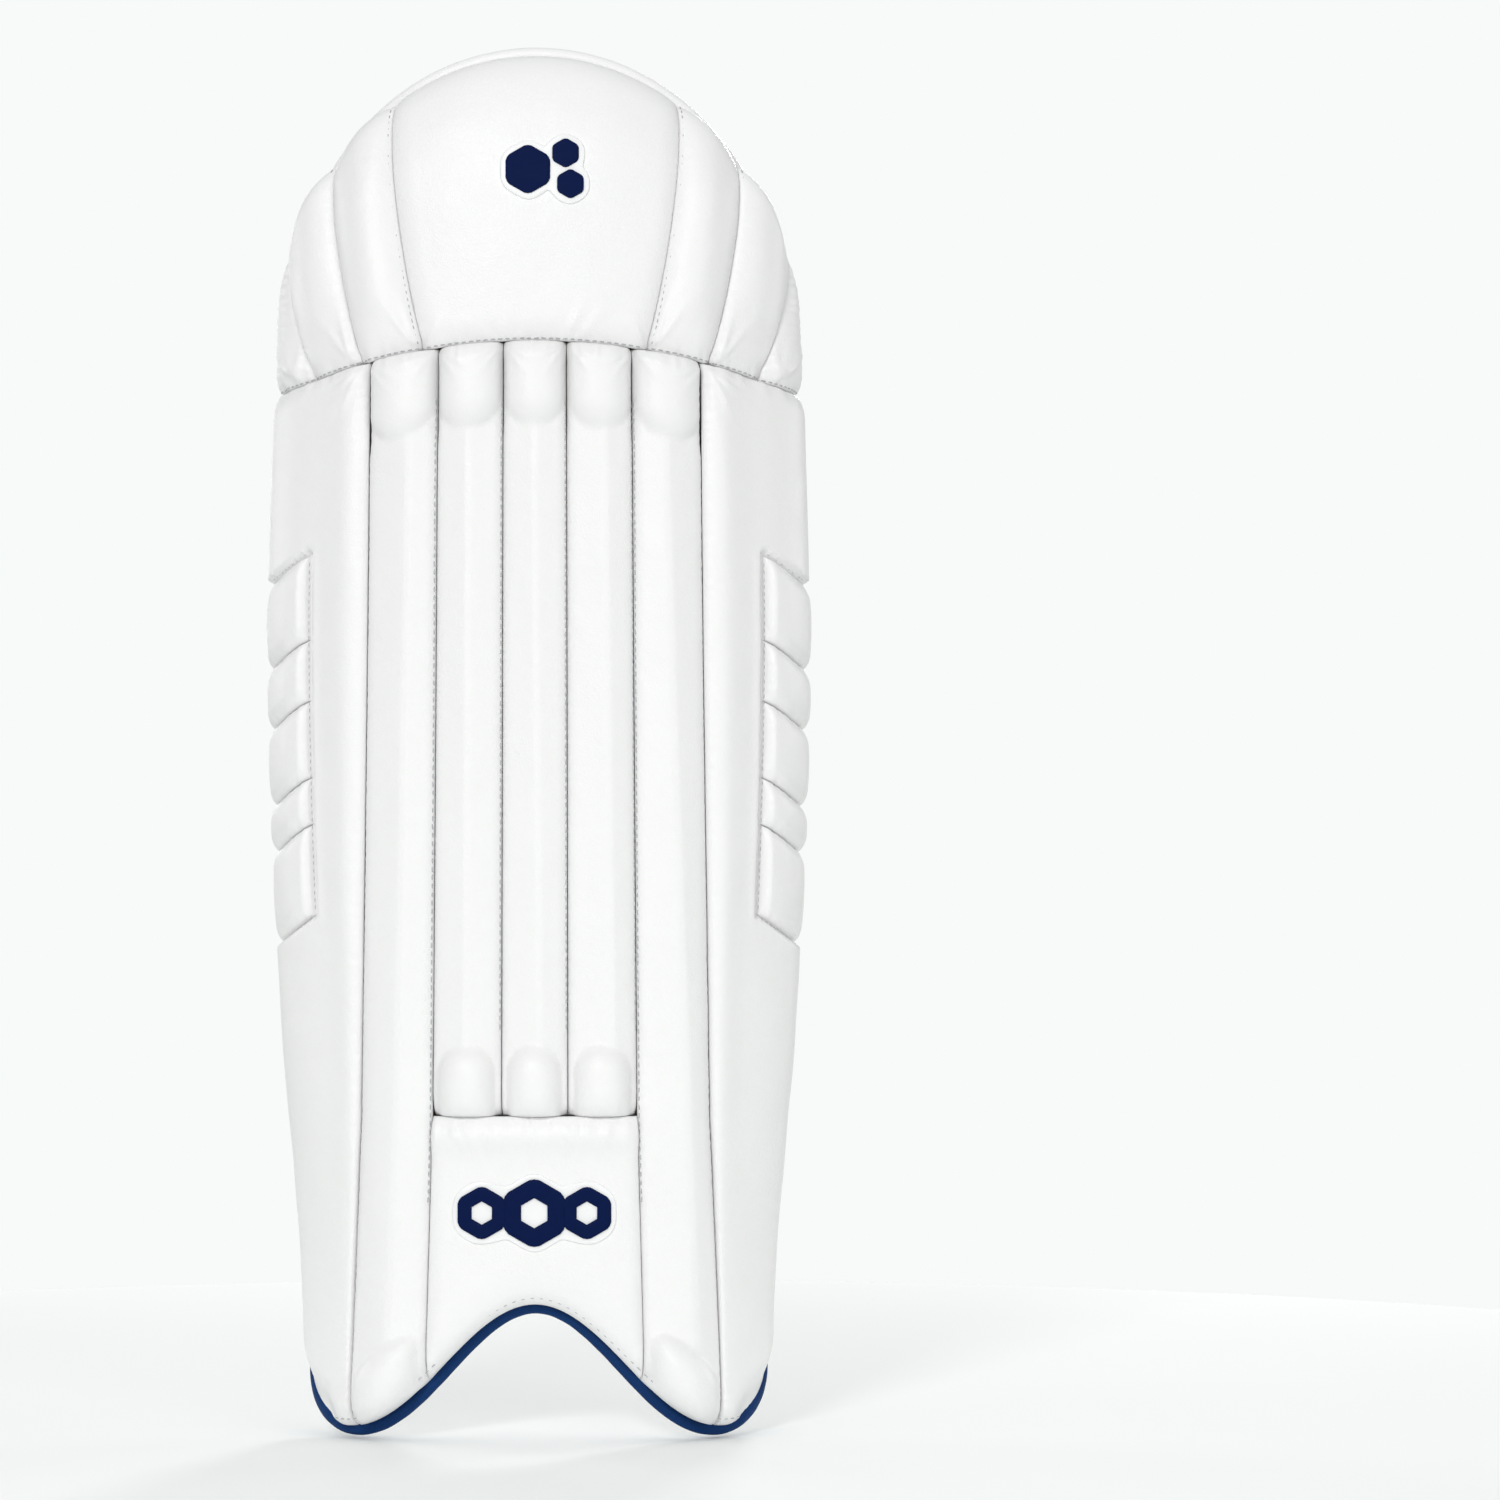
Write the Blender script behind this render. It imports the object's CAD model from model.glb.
"""The looks of a wicket-keeping leg pad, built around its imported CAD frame.

The pad is a curved shell. Every soft piece is drawn on the same shape that the CAD model uses:
s runs across the pad from -1 to 1, z runs up it, and t is the distance out from its lining.
Sizes in the shape functions are in millimetres, and the meshes are in metres.
"""
import math

import bmesh
import bpy
import numpy as np
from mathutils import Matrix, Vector
from mathutils.bvhtree import BVHTree


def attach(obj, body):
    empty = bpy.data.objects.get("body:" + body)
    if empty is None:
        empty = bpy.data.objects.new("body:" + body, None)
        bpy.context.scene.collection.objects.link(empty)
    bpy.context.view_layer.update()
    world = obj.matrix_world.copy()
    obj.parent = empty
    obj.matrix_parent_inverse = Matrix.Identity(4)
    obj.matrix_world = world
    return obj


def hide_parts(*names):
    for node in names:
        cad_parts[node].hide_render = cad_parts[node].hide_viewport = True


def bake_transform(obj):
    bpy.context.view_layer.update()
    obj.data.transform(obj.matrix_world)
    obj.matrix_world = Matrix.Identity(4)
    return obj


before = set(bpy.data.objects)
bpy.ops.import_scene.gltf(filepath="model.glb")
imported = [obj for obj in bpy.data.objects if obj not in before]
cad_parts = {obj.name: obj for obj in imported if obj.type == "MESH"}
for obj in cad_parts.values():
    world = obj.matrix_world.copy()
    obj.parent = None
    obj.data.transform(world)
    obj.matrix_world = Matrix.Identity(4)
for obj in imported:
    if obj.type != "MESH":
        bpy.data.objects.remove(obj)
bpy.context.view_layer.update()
MM = 0.001
SIDES = {-1: "left", 1: "right"}
REARWARD = np.array([0.0, 1.0, 0.0])
rng = np.random.default_rng(7)
stitches = []

# ------------------------------------------------------------------ the pad's shape
PAD_H = 686.0
ANKLE_W, CALF_W, KNEE_W, CALF_Z = 119.0, 133.0, 129.0, 400.0
ARCH_H, LOBE_X, CORNER_H = 61.0, 98.0, 25.0
FRONT_T, WING_T, HOLLOW_D, COVER_T, LINING_T = 26.0, 14.0, 58.0, 6.0, 1.5
FLARE, LEAN = 12.0, 10.0
SLEEVE_W, INSTEP_Z, KNEE_Z = 33.4, 159.0, 539.0
SECTION_P, SECTION_Q, PIPING_R, EDGE_LIFT = 2.4, 0.99, 4.0, 4.0
ARCH_Z = PAD_H - KNEE_W
RIM_R = KNEE_W - PIPING_R
WINDOW_S, WINDOW_DIP, WINDOW_SLANT = 0.857, 5.5, 15.0
WING_ARC = 190.0  # millimetres along the wing's face for each unit of s
BOLSTER_SEAMS = [257, 302, 325, 363, 393, 435]
MESH_Z, MESH_X, BINDING_Z = 226.0, 52.0, 148.0
LINING_TUCK = 2.8  # how far the lower linings reach in under the binding
BOLSTER_X0, BOLSTER_X1 = 33.0, 98.0
FOOT_TOP = CORNER_H + EDGE_LIFT
HALF_GAP = 0.15


def clamp01(v):
    return np.clip(v, 0.0, 1.0)


def smooth(v):
    c = clamp01(v)
    return c * c * (3 - 2 * c)


def dome(v):
    return np.sqrt(1 - (1 - clamp01(v)) ** 2)


def quarter(v):
    """A quarter circle: 1 at 0, falling to 0 at 1."""
    return np.sqrt(np.maximum(0.0, 1 - v * v))


def bell(v):
    return np.exp(-v ** 2)


def lerp(a, b, v):
    return a + (b - a) * v


def half_w(z):
    return (ANKLE_W + (CALF_W - ANKLE_W) * smooth(z / CALF_Z)
            - (CALF_W - KNEE_W) * smooth((z - CALF_Z) / (ARCH_Z - CALF_Z)))


def inner_a(z):
    return half_w(z) - 12.5


def sway(z):
    return -FLARE * clamp01((110 - z) / 110) ** 2 + LEAN * clamp01((z - KNEE_Z) / (PAD_H - KNEE_Z)) ** 2


def section_c(q):
    return np.maximum(0.0, 1 - q ** SECTION_P) ** (1 / SECTION_P)


def place(s, z, t):
    """The point at s, z, t in millimetres; any of them may be an array."""
    s, z, t = np.broadcast_arrays(*(np.asarray(v, float) for v in (s, z, t)))
    a, q = inner_a(z), np.minimum(np.abs(s) * SECTION_Q, 1.0)
    c = section_c(q)
    nx, ny = q ** (SECTION_P - 1) / a, c ** (SECTION_P - 1) / HOLLOW_D
    n = np.hypot(nx, ny)
    return np.stack([np.sign(s) * (a * q + t * nx / n), sway(z) - HOLLOW_D * c - t * ny / n, z], -1)


def lining_y(x, z):
    return sway(z) - HOLLOW_D * section_c(np.minimum(np.abs(x) / inner_a(z), 1.0))


def bottom_z(s):
    x = np.abs(s) * ANKLE_W
    arch = ARCH_H * (0.5 + 0.5 * np.cos(np.pi * x / LOBE_X))
    return np.where(x < LOBE_X, arch, CORNER_H * (1 - quarter((x - LOBE_X) / (ANKLE_W - LOBE_X))))


def top_z(s):
    return ARCH_Z + RIM_R * quarter(s)


def inner_top(s, d):
    return ARCH_Z + (RIM_R - d) * quarter(s * RIM_R / (RIM_R - d))


def inner_foot(s):
    """The low edge of the lower linings, just inside the binding."""
    d = PIPING_R - LINING_TUCK
    x, w = np.abs(s) * ANKLE_W, ANKLE_W - LOBE_X - d
    slope = ARCH_H * np.pi / 2 / LOBE_X * np.sin(np.pi * x / LOBE_X)
    corner = CORNER_H + PIPING_R - (CORNER_H - d) * quarter((x - LOBE_X) / w)
    return np.where(x < LOBE_X, bottom_z(s) + PIPING_R + d * np.hypot(1, slope), corner)


def rim_s(z):
    return np.where(z < ARCH_Z, 1.0, quarter((z - ARCH_Z) / RIM_R))


def rim(s, z):
    return np.where(z < ARCH_Z, np.abs(s), np.hypot(s, (z - ARCH_Z) / RIM_R))


def body_t(s, z):
    full = FRONT_T - (FRONT_T - WING_T) * smooth((np.abs(s) - 0.62) / 0.38)
    foot, top = dome((z - bottom_z(s)) / 28), dome((top_z(s) - z) / 45)
    return WING_T + (full - WING_T) * np.minimum(foot, top)


def push(s, z):
    """How far the stuffed wings stand out past the plain shell."""
    return 5.0 * smooth((np.abs(s) - 0.74) / 0.20) * smooth((z - 60) / 150)


def cane_seam_x(k, z):
    """The x of the seam k sleeve widths from the middle."""
    return k * SLEEVE_W * (1 + 0.07 * (1 - z / 530) + 0.06 * clamp01(1 - z / INSTEP_Z))


def cane_seam(k):
    return lambda z: cane_seam_x(k, z) / half_w(z)


def knee_seam(low, rise, z0, z1):
    return lambda z: (low + rise * (1 - (1 - clamp01((z - z0) / (z1 - z0))) ** 2)) / half_w(z)


KNEE_SEAMS = [knee_seam(58, 16, 539, 666), knee_seam(88, 16, 532, 635), knee_seam(113, 12, 527, 583)]


def knee_edge(s):
    return KNEE_Z - 24 * s * s


def knee_low(s):
    return knee_edge(s) + HALF_GAP


def under_knee(s):
    return knee_edge(s) - HALF_GAP


def knee_top(s):
    return top_z(s) - 1.5


def foot_low(s):
    return bottom_z(s) + EDGE_LIFT + 1.4


def knee_back_edge(s):
    return 532 - 22 * s * s


def level(z):
    """A level panel edge."""
    return lambda s: z + s * 0


def rim_line(z):
    """The panel edge that lies on the pad's outer edge, under the binding."""
    return 0.998 + z * 0


def inset(line, by):
    return lambda z: line(z) + by / half_w(z)


def mirror_line(line):
    return lambda z: -line(z)


def sided(side, near, far):
    """A panel's left and right edges, from the edges nearer to and farther from the middle of the pad."""
    return (near, far) if side > 0 else (mirror_line(far), mirror_line(near))


def near_far(g, side):
    """The distances from those two edges."""
    return (g["left"], g["right"]) if side > 0 else (g["right"], g["left"])


# ------------------------------------------------------------------ small helpers
class Wave:
    """Smooth seeded noise of two variables: a few sine waves in random directions, about -1 to 1."""

    def __init__(self, size, count=9, stretch=1.0):
        angle = rng.uniform(0, 2 * np.pi, count)
        step = 2 * np.pi / size * rng.uniform(0.55, 1.7, count)
        self.kx, self.ky = np.cos(angle) * step, np.sin(angle) * step / stretch
        self.phase = rng.uniform(0, 2 * np.pi, count)
        self.gain = 1.6 / count

    def __call__(self, x, y):
        x, y = np.asarray(x, float)[..., None], np.asarray(y, float)[..., None]
        return self.gain * np.sin(x * self.kx + y * self.ky + self.phase).sum(-1)


def make_object(name, verts, faces, material, smooth_angle=50):
    """A mesh object from points in millimetres."""
    mesh = bpy.data.meshes.new(name)
    mesh.from_pydata((np.asarray(verts, float) * MM).tolist(), [], faces)
    bm = bmesh.new()
    bm.from_mesh(mesh)
    bmesh.ops.recalc_face_normals(bm, faces=bm.faces)
    bm.to_mesh(mesh)
    bm.free()
    obj = bpy.data.objects.new(name, mesh)
    bpy.context.scene.collection.objects.link(obj)
    mesh.materials.append(material)
    mesh.shade_smooth()
    if smooth_angle:
        mesh.set_sharp_from_angle(angle=math.radians(smooth_angle))
    return obj


def settle(obj, body, slot, *nodes):
    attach(obj, body)
    if nodes:
        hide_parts(*nodes)
    return obj


def set_points(mesh, points):
    mesh.vertices.foreach_set("co", (points * MM).astype(np.float32).ravel())


def block(outer, inner):
    """Points and faces of the closed solid between two matching grids of points."""
    n, m = outer.shape[:2]
    size = n * m
    k = np.arange(size).reshape(n, m)
    quads = np.stack([k[:-1, :-1], k[1:, :-1], k[1:, 1:], k[:-1, 1:]], -1).reshape(-1, 4)
    border = np.concatenate([k[0, :-1], k[:-1, -1], k[-1, :0:-1], k[:0:-1, 0]])
    after = np.roll(border, -1)
    walls = np.stack([border, after, after + size, border + size], -1)
    verts = np.concatenate([outer.reshape(-1, 3), inner.reshape(-1, 3)])
    return verts, np.concatenate([quads, quads[:, ::-1] + size, walls]).tolist()


def loop_faces(loops, around, start=0, closed=False):
    """The faces that join successive loops of points, without ends."""
    faces = []
    for i in range(loops if closed else loops - 1):
        a, b = start + i * around, start + (i + 1) % loops * around
        for j in range(around):
            k = (j + 1) % around
            faces.append([a + j, a + k, b + k, b + j])
    return faces


def capped(loops):
    """A closed solid from loops of points, with a flat face at each end."""
    n, around = loops.shape[:2]
    ends = [list(range(around))[::-1], list(range((n - 1) * around, n * around))]
    return loops.reshape(-1, 3), loop_faces(n, around) + ends


def join_parts(parts):
    """Several (points, faces) as one."""
    verts, faces, base = [], [], 0
    for v, f in parts:
        verts.append(v)
        faces += [[base + k for k in face] for face in f]
        base += len(v)
    return np.concatenate(verts), faces


def crowd(density):
    """Steps from 0 to 1 whose sizes follow density."""
    steps = np.cumsum(0.5 * (density[1:] + density[:-1]))
    return np.concatenate([[0], steps / steps[-1]])


def spread(n, low_end=1.0, high_end=1.0):
    """n + 1 steps from 0 to 1 that crowd towards the ends where the ends' values are under 1."""
    x = np.linspace(0, 1, n + 1)
    w = low_end + (1 - low_end) * np.minimum(1, x / 0.15)
    return crowd(np.minimum(w, high_end + (1 - high_end) * np.minimum(1, (1 - x) / 0.15)))


def panel_grid(us, vs, left, right, low, high):
    """s, z, x and the plain shell's t at each point of a panel, and its distance from each of its four edges."""
    u, v = np.meshgrid(us, vs, indexing="ij")
    z = np.full(u.shape, CALF_Z)
    for _ in range(16):
        s = lerp(left(z), right(z), u)
        z = lerp(low(s), high(s), v)
    wide = (right(z) - left(z)) * half_w(z)
    tall = high(s) - low(s)
    return {"u": u, "s": s, "z": z, "x": s * half_w(z), "t": body_t(s, z), "wide": wide,
            "left": u * wide, "right": (1 - u) * wide, "low": v * tall, "high": (1 - v) * tall}


def cover(name, node, g, height, hem=None):
    """A cover panel over the grid g, whose outer face stands at t = height. Where hem, the distance from the
    pad's edge, is small, its inside is tucked down on to the edge binding."""
    inside = np.minimum(g["t"] - COVER_T, height - 0.9)
    if hem is not None:
        inside = inside - 3.6 * clamp01(1.2 - hem / 6)
    mesh = block(place(g["s"], g["z"], height), place(g["s"], g["z"], inside))
    obj = settle(make_object(name, *mesh, mat_cover), "pad", "cover", node)


def roll(d, width, depth):
    """How far a stuffed panel has dropped at distance d from its seam."""
    return -depth * (1 - dome(d / width))


gather_wave = Wave(13, 7)


def gathers(d, along, size, depth, reach, seed=0.0):
    """Small puckers where thread pulls a seam tight."""
    beat = np.sin(2 * np.pi * along / size + 2.2 * gather_wave(along, along * 0 + seed))
    strength = 0.55 + 0.45 * gather_wave(along * 0.31, along * 0 + 40 + seed)
    return -1.4 * depth * bell(d / reach) * (0.5 + 0.5 * beat) * strength


def unit(v):
    return v / np.maximum(np.linalg.norm(v, axis=-1, keepdims=True), 1e-9)


def tangents(path):
    return unit(np.gradient(path, axis=0))


def superellipse(around, power):
    """The cosine and sine of around steps, squared off where power is under 1."""
    k = np.arange(around) * 2 * np.pi / around
    return [np.sign(v) * np.abs(v) ** power for v in (np.cos(k), np.sin(k))]


def sweep(path, side, up, width, height, corner, around):
    """A strip with a rounded-rectangle section along path; side and up are its axes at each point."""
    cs, ct = superellipse(around, 2 * corner)
    return capped(path[:, None] + side[:, None] * (cs * width / 2)[None, :, None]
                  + up[:, None] * (ct * height / 2)[None, :, None])


def run_length(path):
    """The distance along a path at each of its points."""
    return np.concatenate([[0], np.cumsum(np.linalg.norm(np.diff(path, axis=0), axis=1))])


def along_path(path, at):
    length = run_length(path)
    return np.stack([np.interp(at, length, column) for column in path.T], -1)


def relax(path, rounds):
    for _ in range(rounds):
        path[1:-1] = 0.25 * path[:-2] + 0.5 * path[1:-1] + 0.25 * path[2:]
    return path


# ------------------------------------------------------------------ stitches
BEAD = [(-0.5, 0.35, -0.30), (-0.36, 0.85, -0.02), (0.0, 1.0, 0.08), (0.36, 0.85, -0.02), (0.5, 0.35, -0.30)]


def stitch_row(path, normals, pitch, length, thick=0.75, lift=0.16):
    """Thread stitches along a path: each is a small bowed bead that dips at both ends."""
    points = along_path(path, np.arange(pitch / 2, run_length(path)[-1], pitch))
    if len(points) < 2:
        return []
    turns = np.arange(6) * math.pi / 3
    out = []
    for p, d in zip(points, tangents(points)):
        n = normals[int(np.argmin(np.linalg.norm(path - p, axis=1)))]
        side = unit(np.cross(d, n))
        n = unit(np.cross(side, d))
        d = unit(d + side * rng.uniform(-0.06, 0.06))
        section = side * np.cos(turns)[:, None] + n * np.sin(turns)[:, None] * 0.8
        out.append(capped(np.array([p + d * f * length + n * (lift + drop) + section * r * thick / 2
                                    for f, r, drop in BEAD])))
    return out


def surface_line(s, z, t):
    """A path on the pad and its outward normals."""
    path = place(s, z, t)
    return path, unit(place(s, z, t + 1) - path)


def sew(s, z, t, pitch, length, thick=0.75):
    """Adds a row of stitches on the pad's covers."""
    stitches.extend(stitch_row(*surface_line(s, z, t), pitch, length, thick))


# ------------------------------------------------------------------ materials
class Nodes:
    """A short way to write a material's nodes."""

    def __init__(self, name):
        self.mat = bpy.data.materials.new(name)
        self.mat.use_nodes = True
        self.tree = self.mat.node_tree
        self.shader = self.tree.nodes["Principled BSDF"].inputs
        self.coords = self.tree.nodes.new("ShaderNodeTexCoord").outputs["Object"]

    def put(self, socket, value):
        """Links a socket to an output, or sets it to a number, a vector or a colour."""
        if hasattr(value, "is_output"):
            self.tree.links.new(value, socket)
        else:
            socket.default_value = (*value, 1.0) if socket.type == "RGBA" else value

    def node(self, kind, result, settings=(), **inputs):
        """Adds a node, feeds its inputs and gives its output named or numbered result."""
        node = self.tree.nodes.new(f"ShaderNode{kind}")
        for key, value in dict(settings).items():
            setattr(node, key, value)
        for key, value in inputs.items():
            self.put(node.inputs[key.replace("_", " ")], value)
        return node.outputs[result]

    def math(self, operation, a, b=0.0):
        node = self.node("Math", 0, {"operation": operation}).node
        self.put(node.inputs[0], a)
        self.put(node.inputs[1], b)
        return node.outputs[0]

    def noise(self, scale, detail, rough=0.55, vector=None):
        return self.node("TexNoise", "Fac", Vector=vector or self.coords, Scale=scale, Detail=detail, Roughness=rough)

    def cells(self, scale, vector=None, randomness=1.0):
        return self.node("TexVoronoi", "Distance", Vector=vector or self.coords, Scale=scale, Randomness=randomness)

    def stretch(self, x, y, z, turn=0.0):
        return self.node("Mapping", 0, Vector=self.coords, Scale=(x, y, z), Rotation=(0, turn, 0))

    def x_and_z(self):
        node = self.node("SeparateXYZ", 0, Vector=self.coords).node
        return node.outputs["X"], node.outputs["Z"]

    def ramp(self, value, low, high):
        return self.node("MapRange", 0, Value=value, To_Min=low, To_Max=high)

    def mix(self, factor, a, b):
        node = self.node("Mix", 2, {"data_type": "RGBA"}).node
        for index, value in ((0, factor), (6, a), (7, b)):
            self.put(node.inputs[index], value)
        return node.outputs[2]

    def finish(self, colour, rough, *layers, **values):
        """Sets the shader. Each layer is a bump (height, depth in metres), and they stack."""
        self.put(self.shader["Base Color"], colour)
        self.put(self.shader["Roughness"], rough)
        for key, value in values.items():
            self.put(self.shader[key.replace("_", " ")], value)
        normal = None
        for height, depth in layers:
            node = self.node("Bump", 0, Strength=1.0, Distance=depth, Height=height).node
            if normal:
                self.put(node.inputs["Normal"], normal)
            normal = node.outputs[0]
        if normal:
            self.put(self.shader["Normal"], normal)
        return self.mat


def dim(colour, share):
    return tuple(c * share for c in colour)


def leather(name, base, shade, rough, grain=1.0, shine=0.42):
    """Smooth synthetic leather: fine pebble grain, faint creases and a slightly uneven colour."""
    n = Nodes(name)
    tone = n.mix(n.ramp(n.noise(9.0, 4.0), 0.0, 1.0), base, shade)
    return n.finish(n.mix(n.ramp(n.noise(150.0, 2.0), 0.0, 0.35), tone, dim(base, 0.97)),
                    n.ramp(n.noise(40.0, 4.0), rough - 0.07, rough + 0.09),
                    (n.noise(26.0, 3.0), 0.0011 * grain), (n.noise(330.0, 5.0, 0.65), 0.00016 * grain),
                    (n.cells(1150.0), 0.00009 * grain), Specular_IOR_Level=shine)


def towelling(name, base, shade):
    """Brushed cotton pile: short tufts in faint rows, matt, with a soft sheen."""
    n = Nodes(name)
    rows = n.cells(1.0, vector=n.stretch(620.0, 620.0, 430.0), randomness=0.55)
    tone = n.mix(n.ramp(n.noise(14.0, 4.0), 0.0, 1.0), base, shade)
    return n.finish(n.mix(n.ramp(rows, 0.55, 0.0), tone, dim(shade, 0.89)), 0.93,
                    (n.noise(60.0, 3.0), 0.0005), (rows, 0.0005), (n.cells(620.0), 0.0003),
                    Sheen_Weight=0.35, Sheen_Roughness=0.6, Specular_IOR_Level=0.15)


def knit(name, base, hole, scale, depth, dark):
    """Knitted webbing or spacer mesh: staggered oval holes between raised cords."""
    n = Nodes(name)
    x, z = n.x_and_z()
    across, up = n.math("MULTIPLY", x, scale[0]), n.math("MULTIPLY", z, scale[1])
    weave = n.math("ADD", n.math("SINE", n.math("ADD", across, up)), n.math("SINE", n.math("SUBTRACT", across, up)))
    cords = n.math("ADD", n.math("MULTIPLY", weave, 0.25), 0.5)
    fibre = n.noise(1.0, 2.0, vector=n.stretch(2600.0, 2600.0, 900.0))
    tone = n.mix(n.ramp(n.noise(12.0, 4.0), 0.0, 1.0), base, dim(base, 0.955))
    pits = n.math("MULTIPLY", n.math("POWER", n.math("SUBTRACT", 1.0, cords), 2.2), dark)
    return n.finish(n.mix(pits, tone, hole), 0.78, (cords, depth), (fibre, 0.00012),
                    Sheen_Weight=0.2, Specular_IOR_Level=0.25)


def woven(name, base, shade, scale=1500.0, depth=0.00016):
    """Plain woven cloth, fine enough to look smooth, with slight slubs."""
    n = Nodes(name)
    warp, weft = (n.math("SINE", n.math("MULTIPLY", v, scale * 2)) for v in n.x_and_z())
    slub = n.noise(1.0, 3.0, vector=n.stretch(60.0, 60.0, 700.0))
    tone = n.mix(n.ramp(n.noise(18.0, 5.0), 0.0, 1.0), base, shade)
    return n.finish(n.mix(n.ramp(slub, 0.0, 0.4), tone, dim(shade, 0.95)), 0.82, (n.noise(30.0, 4.0), 0.0010),
                    (slub, 0.0001), (n.math("MULTIPLY", warp, weft), depth), Sheen_Weight=0.15)


def plastic(name, base, rough, shine=0.4, coat=0.15):
    """Moulded plastic with faint flow marks and dulled high spots."""
    n = Nodes(name)
    smear = n.noise(1.0, 4.0, vector=n.stretch(60.0, 60.0, 220.0))
    return n.finish(n.mix(n.ramp(n.noise(45.0, 4.0), 0.0, 1.0), base, dim(base, 0.95)),
                    n.ramp(smear, rough - 0.06, rough + 0.12), (n.noise(420.0, 3.0), 0.00006), (smear, 0.00009),
                    Coat_Weight=coat, Coat_Roughness=0.25, Specular_IOR_Level=shine)


def thread(name, base):
    """Twisted sewing thread."""
    n = Nodes(name)
    twist = n.noise(1.0, 2.0, vector=n.stretch(1800.0, 1800.0, 5200.0, 0.6))
    return n.finish(n.mix(n.ramp(twist, 0.0, 1.0), base, dim(base, 0.8)), 0.7, (twist, 0.00012), Sheen_Weight=0.3)


def print_ink(name, base, rough, shine=0.2):
    """Screen-printed ink: slightly uneven, with pinholes over the grain."""
    n = Nodes(name)
    pale = tuple(c * 1.15 + 0.003 for c in base)
    return n.finish(n.mix(n.ramp(n.noise(900.0, 2.0), 0.0, 0.55), base, pale),
                    n.ramp(n.noise(60.0, 3.0), rough - 0.06, rough + 0.1), (n.cells(1150.0), 0.00008),
                    Specular_IOR_Level=shine)


def cane_wood(name):
    """Split cane: long straight fibres."""
    n = Nodes(name)
    fibre = n.noise(1.0, 5.0, 0.6, n.stretch(900.0, 900.0, 12.0))
    return n.finish(n.mix(n.ramp(fibre, 0.0, 1.0), (0.62, 0.43, 0.20), (0.80, 0.63, 0.36)), 0.55, (fibre, 0.0004))


def foam(name, base):
    """Closed-cell foam: tiny round pits."""
    n = Nodes(name)
    pit = n.cells(700.0)
    return n.finish(n.mix(n.ramp(pit, 0.8, 0.0), base, dim(base, 0.7)), 0.9, (pit, 0.0006))


def hook_tape(name, base):
    """Hook tape: close rows of tiny hooks."""
    n = Nodes(name)
    hook = n.cells(1.0, n.stretch(700.0, 700.0, 560.0), 0.15)
    return n.finish(n.mix(n.ramp(hook, 1.0, 0.0), dim(base, 0.7), base), 0.6, (hook, 0.0009))


MESH_SCALE = (1750, 1950)  # the mesh's holes, in radians per metre across and up
mat_cover = leather("white_leather", (0.895, 0.893, 0.890), (0.87, 0.868, 0.868), 0.40)
mat_panel = leather("white_leather_panel", (0.825, 0.828, 0.826), (0.80, 0.804, 0.802), 0.46, 0.8)
mat_back = leather("white_leather_back", (0.925, 0.922, 0.918), (0.90, 0.898, 0.895), 0.46, 0.8)
mat_navy_back = leather("navy_leather_back", (0.002, 0.034, 0.140), (0.002, 0.027, 0.115), 0.6, shine=0.14)
mat_towel = towelling("cream_towelling", (0.80, 0.788, 0.735), (0.765, 0.753, 0.695))
mat_mesh = knit("spacer_mesh", (0.93, 0.93, 0.932), (0.66, 0.67, 0.69), MESH_SCALE, 0.0004, 0.85)
mat_web = knit("strap_webbing", (0.86, 0.865, 0.862), (0.58, 0.61, 0.615), (2094, 1428), 0.0006, 1.0)
mat_anchor = knit("elastic_mesh", (0.84, 0.85, 0.86), (0.42, 0.44, 0.47), (1500, 1150), 0.0008, 1.2)
mat_loop = knit("loop_tape", (0.82, 0.83, 0.84), (0.66, 0.67, 0.69), (3000, 2300), 0.0003, 0.6)
mat_lining = woven("cream_lining", (0.985, 0.975, 0.94), (0.955, 0.944, 0.905))
mat_plastic = plastic("white_acetal", (0.88, 0.89, 0.90), 0.26)
mat_tab = plastic("pull_tab_plastic", (0.74, 0.79, 0.825), 0.36)
mat_label = plastic("label_rubber", (0.90, 0.905, 0.91), 0.42)
mat_badge = plastic("badge_rubber", (0.93, 0.93, 0.935), 0.36)
mat_mark = plastic("badge_navy", (0.001, 0.008, 0.056), 0.55, 0.06, 0.0)
mat_ink = print_ink("navy_ink", (0.0, 0.026, 0.112), 0.7, 0.02)
mat_shin_ink = print_ink("navy_shin_ink", (0.004, 0.042, 0.135), 0.7)
mat_label_ink = print_ink("label_ink", (0.020, 0.040, 0.135), 0.45)
mat_pale_ink = print_ink("pale_grey_ink", (0.66, 0.66, 0.66), 0.5)
mat_grey_ink = print_ink("grey_ink", (0.52, 0.51, 0.50), 0.5)
mat_thread = thread("white_thread", (0.50, 0.51, 0.53))
mat_foam = foam("grey_foam", (0.62, 0.63, 0.62))
mat_board = woven("fibre_board", (0.50, 0.38, 0.24), (0.42, 0.31, 0.19), 900.0, 0.0004)
mat_cane = cane_wood("split_cane")
mat_hook = hook_tape("hook_tape_nylon", (0.78, 0.79, 0.80))

large = Wave(90, 9)
crease = Wave(26, 9, 1.6)


# ------------------------------------------------------------------ front: the knee
def wrinkle(g, amount):
    return amount * large(g["x"], g["z"]) + 0.35 * amount * crease(g["x"], g["z"])


def folds(g, length, width, starts):
    """Soft creases. Each starts at an x, z and runs off at an angle, with a height."""
    total = 0
    for x, z, angle, height in starts:
        dx, dz = g["x"] - x, g["z"] - z
        along = (dx * math.cos(angle) + dz * math.sin(angle)) / length
        side = -dx * math.sin(angle) + dz * math.cos(angle)
        fade = clamp01(along / 0.2) * clamp01(1 - along) ** 1.3
        total = total + 1.35 * height * fade * bell(side / (width * (0.6 + 0.8 * clamp01(along))))
    return total


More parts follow.
